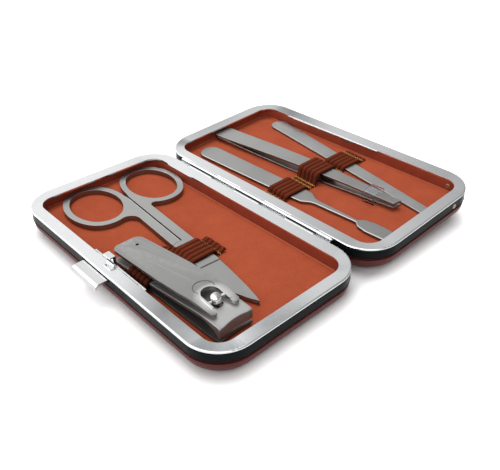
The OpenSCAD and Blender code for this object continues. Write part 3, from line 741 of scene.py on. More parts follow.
class Maker:
    """Turns lists of points and faces into finished pieces."""

    WIRE_SIDES = 6
    WIRE_SHARP = 60.0
    STANDING = 1e-6  # a thread closer than this to upright has no side of its own

    @staticmethod
    def mesh(
        name: str,
        points: Iterable[Point3],
        faces: Iterable[Sequence[int]],
        matrix: Matrix,
        sharp: float = 35.0,
    ) -> bpy.types.Object:
        """Makes a mesh piece from case millimetres.

        Args:
            name: The piece's name.
            points: Its vertices.
            faces: Its faces.
            matrix: Places them in the shared frame.
            sharp: Edges that bend more than this many degrees stay sharp.

        Returns:
            The new object, linked to the scene.
        """
        data = bpy.data.meshes.new(name)
        data.from_pydata([matrix @ Vector(p) for p in points], [], [tuple(f) for f in faces])
        edit = bmesh.new()
        edit.from_mesh(data)
        bmesh.ops.remove_doubles(edit, verts=edit.verts, dist=SAME_PLACE)
        bmesh.ops.recalc_face_normals(edit, faces=edit.faces)
        edit.to_mesh(data)
        edit.free()
        for face in data.polygons:
            face.use_smooth = True
        data.set_sharp_from_angle(angle=math.radians(sharp))
        piece = bpy.data.objects.new(name, data)
        bpy.context.scene.collection.objects.link(piece)
        return piece

    @staticmethod
    def wire(name: str, lines: Sequence[Sequence[Point3]], radius: float, matrix: Matrix) -> bpy.types.Object:
        """Makes round threads along lines, as one mesh.

        Args:
            name: The piece's name.
            lines: The threads' points, in case millimetres.
            radius: The thread's radius in millimetres.
            matrix: Places them in the shared frame.

        Returns:
            The new object.
        """
        points: list[Point3] = []
        faces: list[tuple[int, ...]] = []
        sides = Maker.WIRE_SIDES
        for line in lines:
            base = len(points)
            spine = [Vector(p) for p in line]
            for i, here in enumerate(spine):
                along = (spine[min(i + 1, len(spine) - 1)] - spine[max(i - 1, 0)]).normalized()
                across = along.cross(Vector((0, 0, 1)))
                across = across.normalized() if across.length > Maker.STANDING else Vector((1, 0, 0))
                up = across.cross(along)
                for k in range(sides):
                    turn = math.tau * k / sides
                    points.append(tuple(here + radius * (math.cos(turn) * across + math.sin(turn) * up)))
            for i in range(len(spine) - 1):
                for k in range(sides):
                    a, b = base + i * sides + k, base + i * sides + (k + 1) % sides
                    faces.append((a, b, b + sides, a + sides))
            faces.append(tuple(base + k for k in range(sides))[::-1])
            last = base + (len(spine) - 1) * sides
            faces.append(tuple(last + k for k in range(sides)))
        return Maker.mesh(name, points, faces, matrix, Maker.WIRE_SHARP)

    @staticmethod
    def finish(
        piece: bpy.types.Object, body: str, finish: Finish, slot: Slot, *nodes: str
    ) -> bpy.types.Object:
        """Dresses a new piece and joins it to its body.

        Args:
            piece: The piece.
            body: The body that it rides on.
            finish: Its finish.
            slot: The record's slot for that finish, not used.
            nodes: The CAD nodes that it replaces.

        Returns:
            The same piece.
        """
        piece.data.materials.clear()
        piece.data.materials.append(finish.build())
        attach(piece, body)
        if nodes:
            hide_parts(*nodes)
        LOG.info("piece %s on %s", piece.name, body)
        return piece


@dataclass(frozen=True)
class RoundedRing:
    """A rounded rectangle in a half's own coordinates, as a closed row of points."""

    low: Point2
    high: Point2
    radius: float
    arc_steps: int = 14
    marks: tuple[float, ...] = ()
    runs: int = 10
    least_radius: float = 0.5
    least_half: float = 0.05  # half the width that a ring keeps, however far in

    def points(self, inset: float) -> list[Point2]:
        """The ring, moved in by a distance.

        Args:
            inset: Distance inward, in millimetres.

        Returns:
            Points in order, from the first corner's arc on; every inset gives as many.
        """
        radius = max(self.radius - inset, self.least_radius)
        (u0, y0), (u1, y1) = self.low, self.high
        du, dy = (min(inset, (b - a) / 2 - self.least_half) for a, b in ((u0, u1), (y0, y1)))
        low_u, high_u, low_y, high_y = u0 + du + radius, u1 - du - radius, y0 + dy + radius, y1 - dy - radius
        centres = ((high_u, low_y, -90), (high_u, high_y, 0), (low_u, high_y, 90), (low_u, low_y, 180))
        row: list[Point2] = []
        for k, (cu, cy, turn) in enumerate(centres):
            for i in range(self.arc_steps + 1):
                angle = math.radians(turn + 90 * i / self.arc_steps)
                row.append((cu + radius * math.cos(angle), cy + radius * math.sin(angle)))
            nu, ny, nturn = centres[(k + 1) % 4]
            next_turn = math.radians(nturn)
            end = (nu + radius * math.cos(next_turn), ny + radius * math.sin(next_turn))
            start = row[-1]
            shares = [i / self.runs for i in range(1, self.runs)]
            if k == 0 and self.marks:
                shares = sorted(shares + [(m - start[1]) / (end[1] - start[1]) for m in self.marks])
            row += [(start[0] + (end[0] - start[0]) * s, start[1] + (end[1] - start[1]) * s) for s in shares]
        return row


@dataclass(frozen=True)
class RingLoft:
    """Skins rings of one rounded rectangle at several insets and heights."""

    ring: RoundedRing
    side: Side

    def build(
        self,
        name: str,
        profile: Sequence[Point2],
        closed: bool,
        capped: bool,
        shift: Callable[[float, float, float, float], float] | None = None,
    ) -> bpy.types.Object:
        """Makes the skin.

        Args:
            name: The piece's name.
            profile: Inset and height of each ring.
            closed: Whether the last ring joins the first one.
            capped: Whether the first and last rings are filled.
            shift: Gives a new height for inset, u, y and height.

        Returns:
            The piece.
        """
        points: list[Point3] = []
        faces: list[tuple[int, ...]] = []
        for inset, z in profile:
            for u, y in self.ring.points(inset):
                height = shift(inset, u, y, z) if shift else z
                points.append((SIZES.x_of(self.side, u), y, height))
        count = len(self.ring.points(0.0))
        rings = len(profile)
        for r in range(rings if closed else rings - 1):
            for k in range(count):
                a, b = r * count + k, r * count + (k + 1) % count
                c, d = (r + 1) % rings * count + (k + 1) % count, (r + 1) % rings * count + k
                faces.append((a, b, c, d))
        if capped:
            faces.append(tuple(range(count)))
            faces.append(tuple((rings - 1) * count + k for k in range(count)))
        return Maker.mesh(name, points, faces, SIZES.matrix(self.side))


def wobble(x: float, y: float, z: float, size: float, depth: float) -> float:
    """Height of a smooth unevenness at x and y, the same on each run; z picks the pattern."""
    return depth * noise.noise(Vector((x / size, y / size, z)))


# ---- the two halves


@dataclass
class CaseHalf:
    """Leather cover, foam, suede floor and suede walls of one half."""

    side: Side
    body: str
    prefix: str
    top_gap: float = 0.05  # between the band's lower edge and the leather
    lip: float = 0.45
    belly_radius: float = 5.2
    belly_inset: float = 5.4
    leather: float = 0.7
    hem: tuple[Point2, ...] = ((1.1, -0.12), (0.85, -0.02))  # inset, and height from the cover's top
    groove: tuple[Point2, ...] = ((0.34, -0.98), (0.26, -1.12))
    flat_rings: tuple[float, ...] = (7.0, 9.5, 13.0, 18.0, 23.0, 29.0)
    rim_rise: float = 5.0  # open edges lower than this are the underside's
    slack_size: float = 7.0
    slack_depth: float = 0.07
    slack_reach: float = 3.5
    foam_gaps: Point2 = (1.02, 1.22)  # to the outside of the cover, and to the board
    foam_inset: float = 0.35
    foam_round: float = 0.6
    foam_rings: tuple[float, ...] = (30.0, 18.0)
    floor_gap: float = 0.04
    floor_edge: float = 0.55
    floor_rings: tuple[float, ...] = (0.9, 1.5, 2.5, 4.0, 7.0, 11.0, 16.0, 21.0, 24.0)
    nap_size: float = 11.0
    nap_dent: float = 0.05
    roll_inset: float = 0.3
    roll_radius: float = 0.2
    wall_profile: tuple[Point2, ...] = (
        (0.0, -5.94), (0.0, -4.4), (0.02, -2.8), (0.0, -1.3), (-0.06, -0.85), (-0.2, -0.64),
        (-0.44, -0.64), (-0.47, -0.9), (-0.47, -5.94),
    )
    slot_span: Point2 = (51.8, 67.9)
    slot_bottom: float = -2.05
    slot_end: float = 0.05
    slot_fold: float = 0.05  # share of its height that the folded wall keeps

    def outer_ring(self) -> RoundedRing:
        """The outline of the half."""
        return RoundedRing((0.0, 0.0), (SIZES.half_width, SIZES.length), SIZES.corner)

    def tray_ring(self, gap: float = 0.0, marks: tuple[float, ...] = ()) -> RoundedRing:
        """The outline of the lined tray.

        Args:
            gap: Distance that the ring stays in from the walls.
            marks: Places along the free side where the ring needs points.

        Returns:
            The ring at inset 0.
        """
        low = (SIZES.flange + gap, SIZES.end_wall + gap)
        high = (SIZES.half_width - SIZES.flange - gap, SIZES.length - SIZES.end_wall - gap)
        return RoundedRing(low, high, SIZES.tray_corner - gap, marks=marks)

    def cover(self) -> bpy.types.Object:
        """The leather cover: turned-in hem, bevelled lip, slack wall, round belly and flat underside.

        Returns:
            The cover.
        """
        top = -SIZES.skirt - self.top_gap
        profile = [(inset, top + z) for inset, z in self.hem]
        for angle in range(0, 181, 30):
            step = self.lip * (1 - math.cos(math.radians(angle)))
            profile.append((step, top - step))
        profile += [(inset, top + z) for inset, z in self.groove]
        radius, centre = self.belly_radius, -SIZES.height + self.belly_radius
        for i in range(9):
            angle = math.radians(3 + 87 * i / 8)
            profile.append((self.belly_inset - radius * math.cos(angle), centre - radius * math.sin(angle)))
        profile += [(d, -SIZES.height) for d in self.flat_rings]

        def slack(inset: float, u: float, y: float, z: float) -> float:
            """Lets the stretched leather sag unevenly.

            Args:
                inset: Distance in from the outline.
                u: Place across the half.
                y: Place along the hinge.
                z: Height of the even cover.

            Returns:
                The new height.
            """
            if z < -SIZES.height + 0.01 or inset > self.slack_reach:
                return z
            sag = wobble(u + 3 * self.side.value, y, inset, self.slack_size, self.slack_depth)
            return z + sag * min(1.0, top - z)

        loft = RingLoft(self.outer_ring(), self.side)
        piece = loft.build(f"{self.prefix}_leather", profile, False, False, slack)
        self.close_underside(piece)
        thick = piece.modifiers.new("leather thickness", "SOLIDIFY")
        thick.thickness = self.leather * MM
        thick.offset = -1.0
        return Maker.finish(piece, self.body, LEATHER, Slot.LEATHER, f"{self.prefix}_leather_cover")

    def close_underside(self, piece: bpy.types.Object) -> None:
        """Fills the hole in the middle of a cover's underside.

        Args:
            piece: The open cover.
        """
        edit = bmesh.new()
        edit.from_mesh(piece.data)
        top = min(v.co.z for v in edit.verts) + self.rim_rise * MM
        rim = [e for e in edit.edges if e.is_boundary and all(v.co.z < top for v in e.verts)]
        bmesh.ops.contextual_create(edit, geom=rim)
        bmesh.ops.recalc_face_normals(edit, faces=edit.faces)
        edit.to_mesh(piece.data)
        edit.free()
        for face in piece.data.polygons:
            face.use_smooth = True

    def foam(self) -> bpy.types.Object:
        """The foam between cover and tray, with soft edges.

        Returns:
            The foam pad.
        """
        low = -SIZES.height + self.foam_gaps[0]
        high = -SIZES.floor_depth - SIZES.floor_thickness - self.foam_gaps[1]
        mid, half = (low + high) / 2, (high - low) / 2
        inset = self.belly_inset + self.foam_inset
        rings = (*self.foam_rings, inset + 1.5)
        profile = [(d, low) for d in rings]
        for angle in (math.radians(a) for a in range(-90, 91, 15)):
            bulge = half * self.foam_round * (1 - math.cos(angle))
            profile.append((inset + bulge, mid + half * math.sin(angle)))
        profile += [(d, high) for d in reversed(rings)]
        piece = RingLoft(self.outer_ring(), self.side).build(f"{self.prefix}_foam", profile, False, True)
        Maker.finish(piece, self.body, FOAM, Slot.FOAM, f"{self.prefix}_padding")
        return piece

    def floor(self) -> bpy.types.Object:
        """The suede-covered floor, its edge turned down round the board under it.

        Returns:
            The floor lining.
        """
        top, edge = -SIZES.floor_depth, self.floor_edge
        low = top - SIZES.floor_thickness + 0.02
        profile: list[Point2] = [(self.floor_rings[-1], low), (3.0, low), (0.0, low), (0.0, top - edge)]
        for i in range(1, 6):
            angle = math.radians(90 * i / 5)
            profile.append((edge - edge * math.cos(angle), top - edge + edge * math.sin(angle)))
        profile += [(d, top) for d in self.floor_rings]

        def nap(inset: float, u: float, y: float, z: float) -> float:
            """Dents the padded floor softly.

            Args:
                inset: Distance in from the tray's wall.
                u: Place across the half.
                y: Place along the hinge.
                z: Height of the even floor.

            Returns:
                The new height.
            """
            if z < top - 0.01 or inset < 1.0:
                return z
            return z - abs(wobble(u, y + 40 * self.side.value, 0.3, self.nap_size, self.nap_dent))

        loft = RingLoft(self.tray_ring(self.floor_gap), self.side)
        piece = loft.build(f"{self.prefix}_suede_floor", profile, False, True, nap)
        Maker.finish(piece, self.body, SUEDE, Slot.SUEDE, f"{self.prefix}_floor_lining")
        return piece

    def edge_highlight_roll(self) -> bpy.types.Object:
        """A paler roll along the floor's edge where it meets the walls: a painted highlight where the turned
        edge catches the light.

        Returns:
            The edge roll.
        """
        middle = Vector((self.roll_inset, -SIZES.floor_depth - 0.02))
        turns = [math.tau * k / 8 for k in range(8)]
        profile = [tuple(middle + self.roll_radius * Vector((math.cos(a), math.sin(a)))) for a in turns]
        loft = RingLoft(self.tray_ring(self.floor_gap), self.side)
        piece = loft.build(f"{self.prefix}_suede_edge_highlight", profile, True, False)
        return Maker.finish(piece, self.body, EDGE_HIGHLIGHT_SUEDE, Slot.SUEDE)

    def walls(self) -> bpy.types.Object:
        """The suede band round the tray, folded over at its top.

        Returns:
            The wall lining.
        """
        first, last = self.slot_span
        marks = (first - self.slot_end, first, last, last + self.slot_end)

        def notch(inset: float, u: float, y: float, z: float) -> float:
            """Folds the wall down where the latch passes.

            Args:
                inset: Distance in from the tray's wall, not used.
                u: Place across the half.
                y: Place along the hinge.
                z: Height of the even wall.

            Returns:
                The new height.
            """
            outer = u > SIZES.half_width / 2
            if outer and first <= y <= last and z > self.slot_bottom:
                return self.slot_bottom + self.slot_fold * (z - self.slot_bottom)
            return z

        loft = RingLoft(self.tray_ring(0.0, marks), self.side)
        piece = loft.build(f"{self.prefix}_suede_walls", self.wall_profile, True, False, notch)
        return Maker.finish(piece, self.body, WALL, Slot.WALL, f"{self.prefix}_wall_lining")

    def build(self) -> None:
        """Builds and dresses every soft piece of the half."""
        self.cover()
        self.foam()
        self.floor()
        self.edge_highlight_roll()
        self.walls()


# ---- straps


@dataclass
class ElasticStrap:
    """Ribbed elastic with arches over the tools, held down by gold stitching."""

    name: str
    node: str
    body: str
    side: Side
    loops: tuple[Point3, ...]  # start, end and height of each arch
    span: Point2
    width: float
    centre: Point2
    yaw: float = 0.0
    ribs: int = 5
    web: float = 0.50
    crest: float = 0.68
    fold: float = 1.35
    foot: float = 0.35
    foot_gap: float = 0.72
    lift: float = 0.03
    run_step: float = 0.6
    bridge_gap: float = 0.5
    bridge_round: float = 0.2
    sag: float = 0.8
    roundness: float = 0.7
    selvedge: float = 0.02
    selvedge_thin: float = 0.75
    end_rise: float = 0.85
    end_wave: float = 0.1
    fray: float = 0.25
    fray_reach: float = 0.7
    stitch_swing: float = 0.42
    stitch_arch: float = 0.08
    stitch_lift: float = 0.06
    stitch_over: float = 0.5
    stitch_count: int = 11
    thread: float = 0.13
    stitch_at: tuple[float, ...] = ()
    free_end: bool = False
    bridge: float = 0.0  # height at which the band spans from one arch to the next
    fan: tuple[float, float, float, float] = (0.0, 0.0, 0.0, 0.0)  # grows, then shrinks
    fan_width: float = 0.0

    def place(self) -> Matrix:
        """The strap's own coordinates (along, across, up from the suede) to the shared frame.

        Returns:
            The matrix.
        """
        z = -SIZES.floor_depth + self.lift
        spot = Matrix.Translation((self.centre[0], self.centre[1], z))
        turn = Matrix.Rotation(math.radians(-self.yaw), 4, "Z")
        back = Matrix.Translation((-self.centre[0], 0, 0))
        return SIZES.matrix(self.side) @ spot @ turn @ back

    def path(self) -> list[tuple[Vector, Vector]]:
        """The line of the strap's underside with its outward direction.

        Returns:
            Pairs of point and direction, both in x and z.
        """
        line: list[tuple[Vector, Vector]] = []

        def flat(x0: float, x1: float) -> None:
            """Adds a straight run on the suede.

            Args:
                x0: Start along the strap.
                x1: End along the strap.
            """
            steps = max(2, int((x1 - x0) / self.run_step))
            for i in range(steps + 1):
                line.append((Vector((x0 + (x1 - x0) * i / steps, 0.0)), Vector((0, 1))))

        def bend(cx: float, cz: float, radius: float, a0: float, a1: float, sign: float) -> None:
            """Adds an arc.

            Args:
                cx: Centre along the strap.
                cz: Centre height.
                radius: Radius.
                a0: Start angle in degrees.
                a1: End angle in degrees.
                sign: 1 where the band lies outside the arc, -1 where it lies inside.
            """
            for i in range(9):
                angle = math.radians(a0 + (a1 - a0) * i / 8)
                out = Vector((math.cos(angle), math.sin(angle)))
                line.append((Vector((cx, cz)) + radius * out, sign * out))

        foot, gap = self.foot, self.foot_gap
        up = Vector((0, 1))
        x = self.span[0]
        for k, (start, end, high) in enumerate(self.loops):
            radius = min(self.fold, high * 0.6)
            if k == 0 or self.bridge == 0:
                flat(x, start - foot - gap - 0.02)
                bend(start - foot - gap, foot + 0.02, foot, -90, 0, -1.0)
                bend(start + radius, high - radius, radius, 180, 90, 1.0)
            line.append((Vector(((start + end) / 2, high + 0.05)), up))
            bend(end - radius, high - radius, radius, 90, 0, 1.0)
            if self.bridge > 0 and k + 1 < len(self.loops):
                inner = foot + self.bridge_round
                bend(end + foot + self.bridge_gap, self.bridge + inner, inner, 190, 270, -1.0)
                next_start, _, next_high = self.loops[k + 1]
                line.append((Vector((next_start, self.bridge)), up))
                line.append((Vector((next_start + radius, next_high)), up))
                continue
            bend(end + foot + gap, foot + 0.02, foot, 180, 270, -1.0)
            x = end + foot + gap + 0.02
        flat(x, self.span[1])
        return line

    def thickness(self, share: float) -> float:
        """Thickness across the strap.

        Args:
            share: Place across, 0 to 1.

        Returns:
            Thickness in millimetres.
        """
        wave = 0.5 - 0.5 * math.cos(math.tau * self.ribs * share)
        edge = min(1.0, share / self.selvedge, (1 - share) / self.selvedge)
        full = self.web + (self.crest - self.web) * wave**self.roundness
        return full * (self.selvedge_thin + (1 - self.selvedge_thin) * edge)

    def elastic(self) -> bpy.types.Object:
        """Builds the ribbed band.

        Returns:
            The band.
        """
        line = self.path()
        across = self.ribs * 8
        points: list[Point3] = []
        for i, (spot, out) in enumerate(line):
            for k in range(across + 1):
                share = k / across
                fan = self.fanned(spot.x) * share**1.3
                y = (share - 0.5) * self.width + self.fan_width * fan
                dip = self.sag * self.bridge * fan if spot.x > self.fan[1] else 0.0
                lift = self.end_lift(spot.x, share) - dip
                for level in (0.0, self.thickness(share)):
                    p = spot + out * level
                    points.append((p.x + self.end_fray(spot.x, share), y, p.y + lift))
        row = 2 * (across + 1)
        faces: list[tuple[int, ...]] = []
        for i in range(len(line) - 1):
            a, b = i * row, (i + 1) * row
            for k in range(across):
                j = 2 * k
                faces.append((a + j + 1, a + j + 3, b + j + 3, b + j + 1))
                faces.append((a + j, b + j, b + j + 2, a + j + 2))
            faces.append((a, a + 1, b + 1, b))
            faces.append((a + row - 2, b + row - 2, b + row - 1, a + row - 1))
        for a in (0, (len(line) - 1) * row):
            for k in range(across):
                j = a + 2 * k
                faces.append((j, j + 2, j + 3, j + 1))
        piece = Maker.mesh(self.name, points, faces, self.place(), sharp=50.0)
        self.lay_uv(piece)
        return Maker.finish(piece, self.body, ELASTIC, Slot.ELASTIC, self.node)

    def lay_uv(self, piece: bpy.types.Object) -> None:
        """Gives the band a UV map: millimetres along, share across.

        Args:
            piece: The band.
        """
        layer = piece.data.uv_layers.new(name="along_across")
        back = self.place().inverted()
        for loop in piece.data.loops:
            spot = back @ piece.data.vertices[loop.vertex_index].co
            layer.data[loop.index].uv = (spot.x + spot.z, spot.y / self.width + 0.5)

    def fanned(self, x: float) -> float:
        """How far the slack band fans out between two loops.

        Args:
            x: Place along.

        Returns:
            Share of the full extra width, 0 to 1.
        """
        if self.fan_width <= 0:
            return 0.0
        a, b, c, d = self.fan
        share = min(1.0, max(0.0, (x - a) / (b - a)), max(0.0, (d - x) / (d - c)))
        return share * share * (3 - 2 * share)

    def end_lift(self, x: float, share: float) -> float:
        """How far the free end stands up from the suede.

        Args:
            x: Place along.
            share: Place across.

        Returns:
            Height in millimetres.
        """
        if not self.free_end:
            return 0.0
        reach = max(0.0, (x - self.stitch_at[-1] - 0.4) / (self.span[1] - self.stitch_at[-1]))
        rise = self.end_rise * min(1.0, reach * 1.6) ** self.roundness
        return rise + self.end_wave * reach * math.sin(share * 19)

    def end_fray(self, x: float, share: float) -> float:
        """How far the cut end runs out unevenly.

        Args:
            x: Place along.
            share: Place across.

        Returns:
            Distance in millimetres.
        """
        if not self.free_end or x < self.span[1] - self.fray_reach:
            return 0.0
        rib = math.floor(share * self.ribs * 2)
        return self.fray * (noise.noise(Vector((rib * 1.7, 3.1, self.width))) - 1)

    def stitching(self) -> bpy.types.Object:
        """Zigzags of gold thread across the strap.

        Returns:
            The stitches.
        """
        lines: list[list[Point3]] = []
        steps = 4 * self.stitch_count
        for x in self.stitch_at:
            row: list[Point3] = []
            for i in range(steps + 1):
                share = i / steps
                swing = (0.0, self.stitch_swing, 0.0, -self.stitch_swing)[i % 4]
                arch = self.stitch_arch * (i % 2)
                y = (share - 0.5) * (self.width + self.stitch_over)
                row.append((x + swing, y, self.thickness(share) + self.stitch_lift + arch))
            lines.append(row)
        piece = Maker.wire(f"{self.name}_stitches", lines, self.thread, self.place())
        return Maker.finish(piece, self.body, THREAD, Slot.ELASTIC)

    def build(self) -> None:
        """Builds the band and its stitching."""
        self.elastic()
        self.stitching()


# ---- hard pieces


@dataclass(frozen=True)
class SolidDress:
    """Rounded edges and a finish for a CAD solid that keeps its shape."""

    node: str
    finish: Finish
    edge: float = 0.12
    segments: int = 2
    crease: float = 32.0
    flat: float = 0.6

    def dress(self) -> None:
        """Gives the node its finish and its rounded edges."""
        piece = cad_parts[self.node]
        piece.data.materials.clear()
        piece.data.materials.append(self.finish.build())
        for face in piece.data.polygons:
            face.use_smooth = True
        weld = piece.modifiers.new("weld", "WELD")
        weld.merge_threshold = SAME_PLACE
        if self.edge > 0:
            flat = piece.modifiers.new("flat faces", "DECIMATE")
            flat.decimate_type = "DISSOLVE"
            flat.angle_limit = math.radians(self.flat)
            bevel = piece.modifiers.new("rounded edges", "BEVEL")
            bevel.width = self.edge * MM
            bevel.segments = self.segments
            bevel.limit_method = "ANGLE"
            bevel.angle_limit = math.radians(self.crease)
        even = piece.modifiers.new("even shading", "WEIGHTED_NORMAL")
        even.keep_sharp = True
        LOG.info("solid %s in %s", self.node, self.finish.name)


@dataclass
class HardPieces:
    """Every CAD solid that keeps its own shape."""

    dresses: tuple[SolidDress, ...] = (
        SolidDress("base_frame", CHROME, 0.1),
        SolidDress("lid_frame", CHROME, 0.1),
        SolidDress("hinge_pin", CHROME, 0.06),
        SolidDress("base_rim_band", BAND, 0.06),
        SolidDress("lid_rim_band", BAND, 0.06),
        SolidDress("base_tray_board", CARD, 0.0),
        SolidDress("lid_tray_board", CARD, 0.0),
        SolidDress("latch_anchor", BRIGHT, 0.06),
        SolidDress("latch_leaf", BRIGHT, 0.1),
        SolidDress("latch_thumb_tab", BRIGHT, 0.2, 3),
        SolidDress("lid_catch_bar", BRIGHT, 0.12),
        SolidDress("lid_rivets", BRASS, 0.12),
        SolidDress("scissor_half_lower", STEEL, 0.22, 3),
        SolidDress("scissor_half_upper", STEEL, 0.22, 3),
        SolidDress("scissor_screw", STEEL, 0.06),
        # painted shade: the lower jaw in the darker copy of the jaw steel
        SolidDress("clipper_lower_jaw", JAW_DARK, 0.14),
        SolidDress("clipper_upper_jaw", JAW, 0.2),
        SolidDress("clipper_rear_rivet", STEEL, 0.1),
        SolidDress("clipper_pin", BRIGHT, 0.08),
        SolidDress("clipper_lever", LEVER, 0.25, 3, flat=0.1),
        SolidDress("tweezer_lower_arm", STEEL, 0.1),
        SolidDress("tweezer_upper_arm", STEEL, 0.1),
        SolidDress("tweezer_tip_band", CLEAR, 0.1),
        SolidDress("cuticle_pusher", STEEL, 0.4, 3),
        SolidDress("nail_file", GRIT, 0.16),
    )

    def build(self) -> None:
        """Dresses them all."""
        for dress in self.dresses:
            dress.dress()


@dataclass(frozen=True)
class LeverArc:
    """The raised arc stamped into the clipper's lever behind its fork."""

    middle: Point2 = (0.3, 6.0)
    radius: float = 3.3
    turn: Point2 = (-38.0, 218.0)
    wire: float = 0.17
    pin: Point3 = (-50.1, 17.6, -4.75)
    yaw: float = 1.1
    side: tuple[Point2, ...] = ((-4.8, 8.35), (2.2, 9.21), (5.2, 9.26), (47.0, 5.35))
    steps: int = 32
    sunk: float = 0.02

    def height(self, v: float) -> float:
        """Height of the lever's top.

        Args:
            v: Distance behind the pin.

        Returns:
            Height above the clipper's underside.
        """
        for (v0, z0), (v1, z1) in zip(self.side, self.side[1:]):
            if v <= v1:
                return z0 + (z1 - z0) * (v - v0) / (v1 - v0)
        return self.side[-1][1]

    def build(self) -> bpy.types.Object:
        """Makes the arc.

        Returns:
            The arc as a thin wire.
        """
        line: list[Point3] = []
        first, last = self.turn
        for i in range(self.steps + 1):
            angle = math.radians(first + (last - first) * i / self.steps)
            v = self.middle[1] + self.radius * math.sin(angle)
            line.append((self.middle[0] + self.radius * math.cos(angle), v, self.height(v) - self.sunk))
        turn = Matrix.Rotation(math.radians(self.yaw), 4, "Z")
        place = SIZES.case_matrix() @ Matrix.Translation(self.pin) @ turn
        piece = Maker.wire("clipper_lever_arc", [line], self.wire, place)
        # painted shade: a thin dark wire along the stamped arc
        return Maker.finish(piece, "clipper_handle", JAW_DARK, Slot.STEEL)


@dataclass(frozen=True)
class HingeLips:
    """Narrow lips of the left frame beside the lid's knuckles, and a dark wire along them: painted shade
    where the gap at the hinge lies in shade.
    """

    first: float = 23.4
    length: float = 13.7
    pitch: float = 27.4
    count: int = 3
    gap: float = 0.05
    reach: Point2 = (-1.9, -0.82)
    heights: Point2 = (-0.1, 0.58)
    # a dark wire along the hinge: painted shade for the shaded gap
    shade_line_x: float = -1.04
    shade_line_height: float = 0.67
    shade_line_radius: float = 0.15
    shade_line_span: Point2 = (16.5, 98.5)

    def build(self) -> bpy.types.Object:
        """Makes the lips.

        Returns:
            All of them as one piece.
        """
        points: list[Point3] = []
        faces: list[tuple[int, ...]] = []
        for k in range(self.count):
            base = len(points)
            y0 = self.first + k * self.pitch + self.gap
            ends = (y0, y0 + self.length - 2 * self.gap)
            points += [(x, y, z) for x in self.reach for y in ends for z in self.heights]
            sides = ((0, 1, 3, 2), (4, 6, 7, 5), (0, 4, 5, 1), (2, 3, 7, 6), (0, 2, 6, 4), (1, 5, 7, 3))
            faces += [tuple(base + i for i in side) for side in sides]
        piece = Maker.mesh("base_hinge_lips", points, faces, SIZES.case_matrix())
        # painted shade: a dark wire where the gap between flange and knuckles lies in shade
        shade_line = [[(self.shade_line_x, y, self.shade_line_height) for y in self.shade_line_span]]
        line = Maker.wire("base_hinge_shade_line", shade_line, self.shade_line_radius, SIZES.case_matrix())
        Maker.finish(line, "case_base", BAND, Slot.BAND)
        return Maker.finish(piece, "case_base", CHROME, Slot.CHROME)


# ---- floor, lights and camera


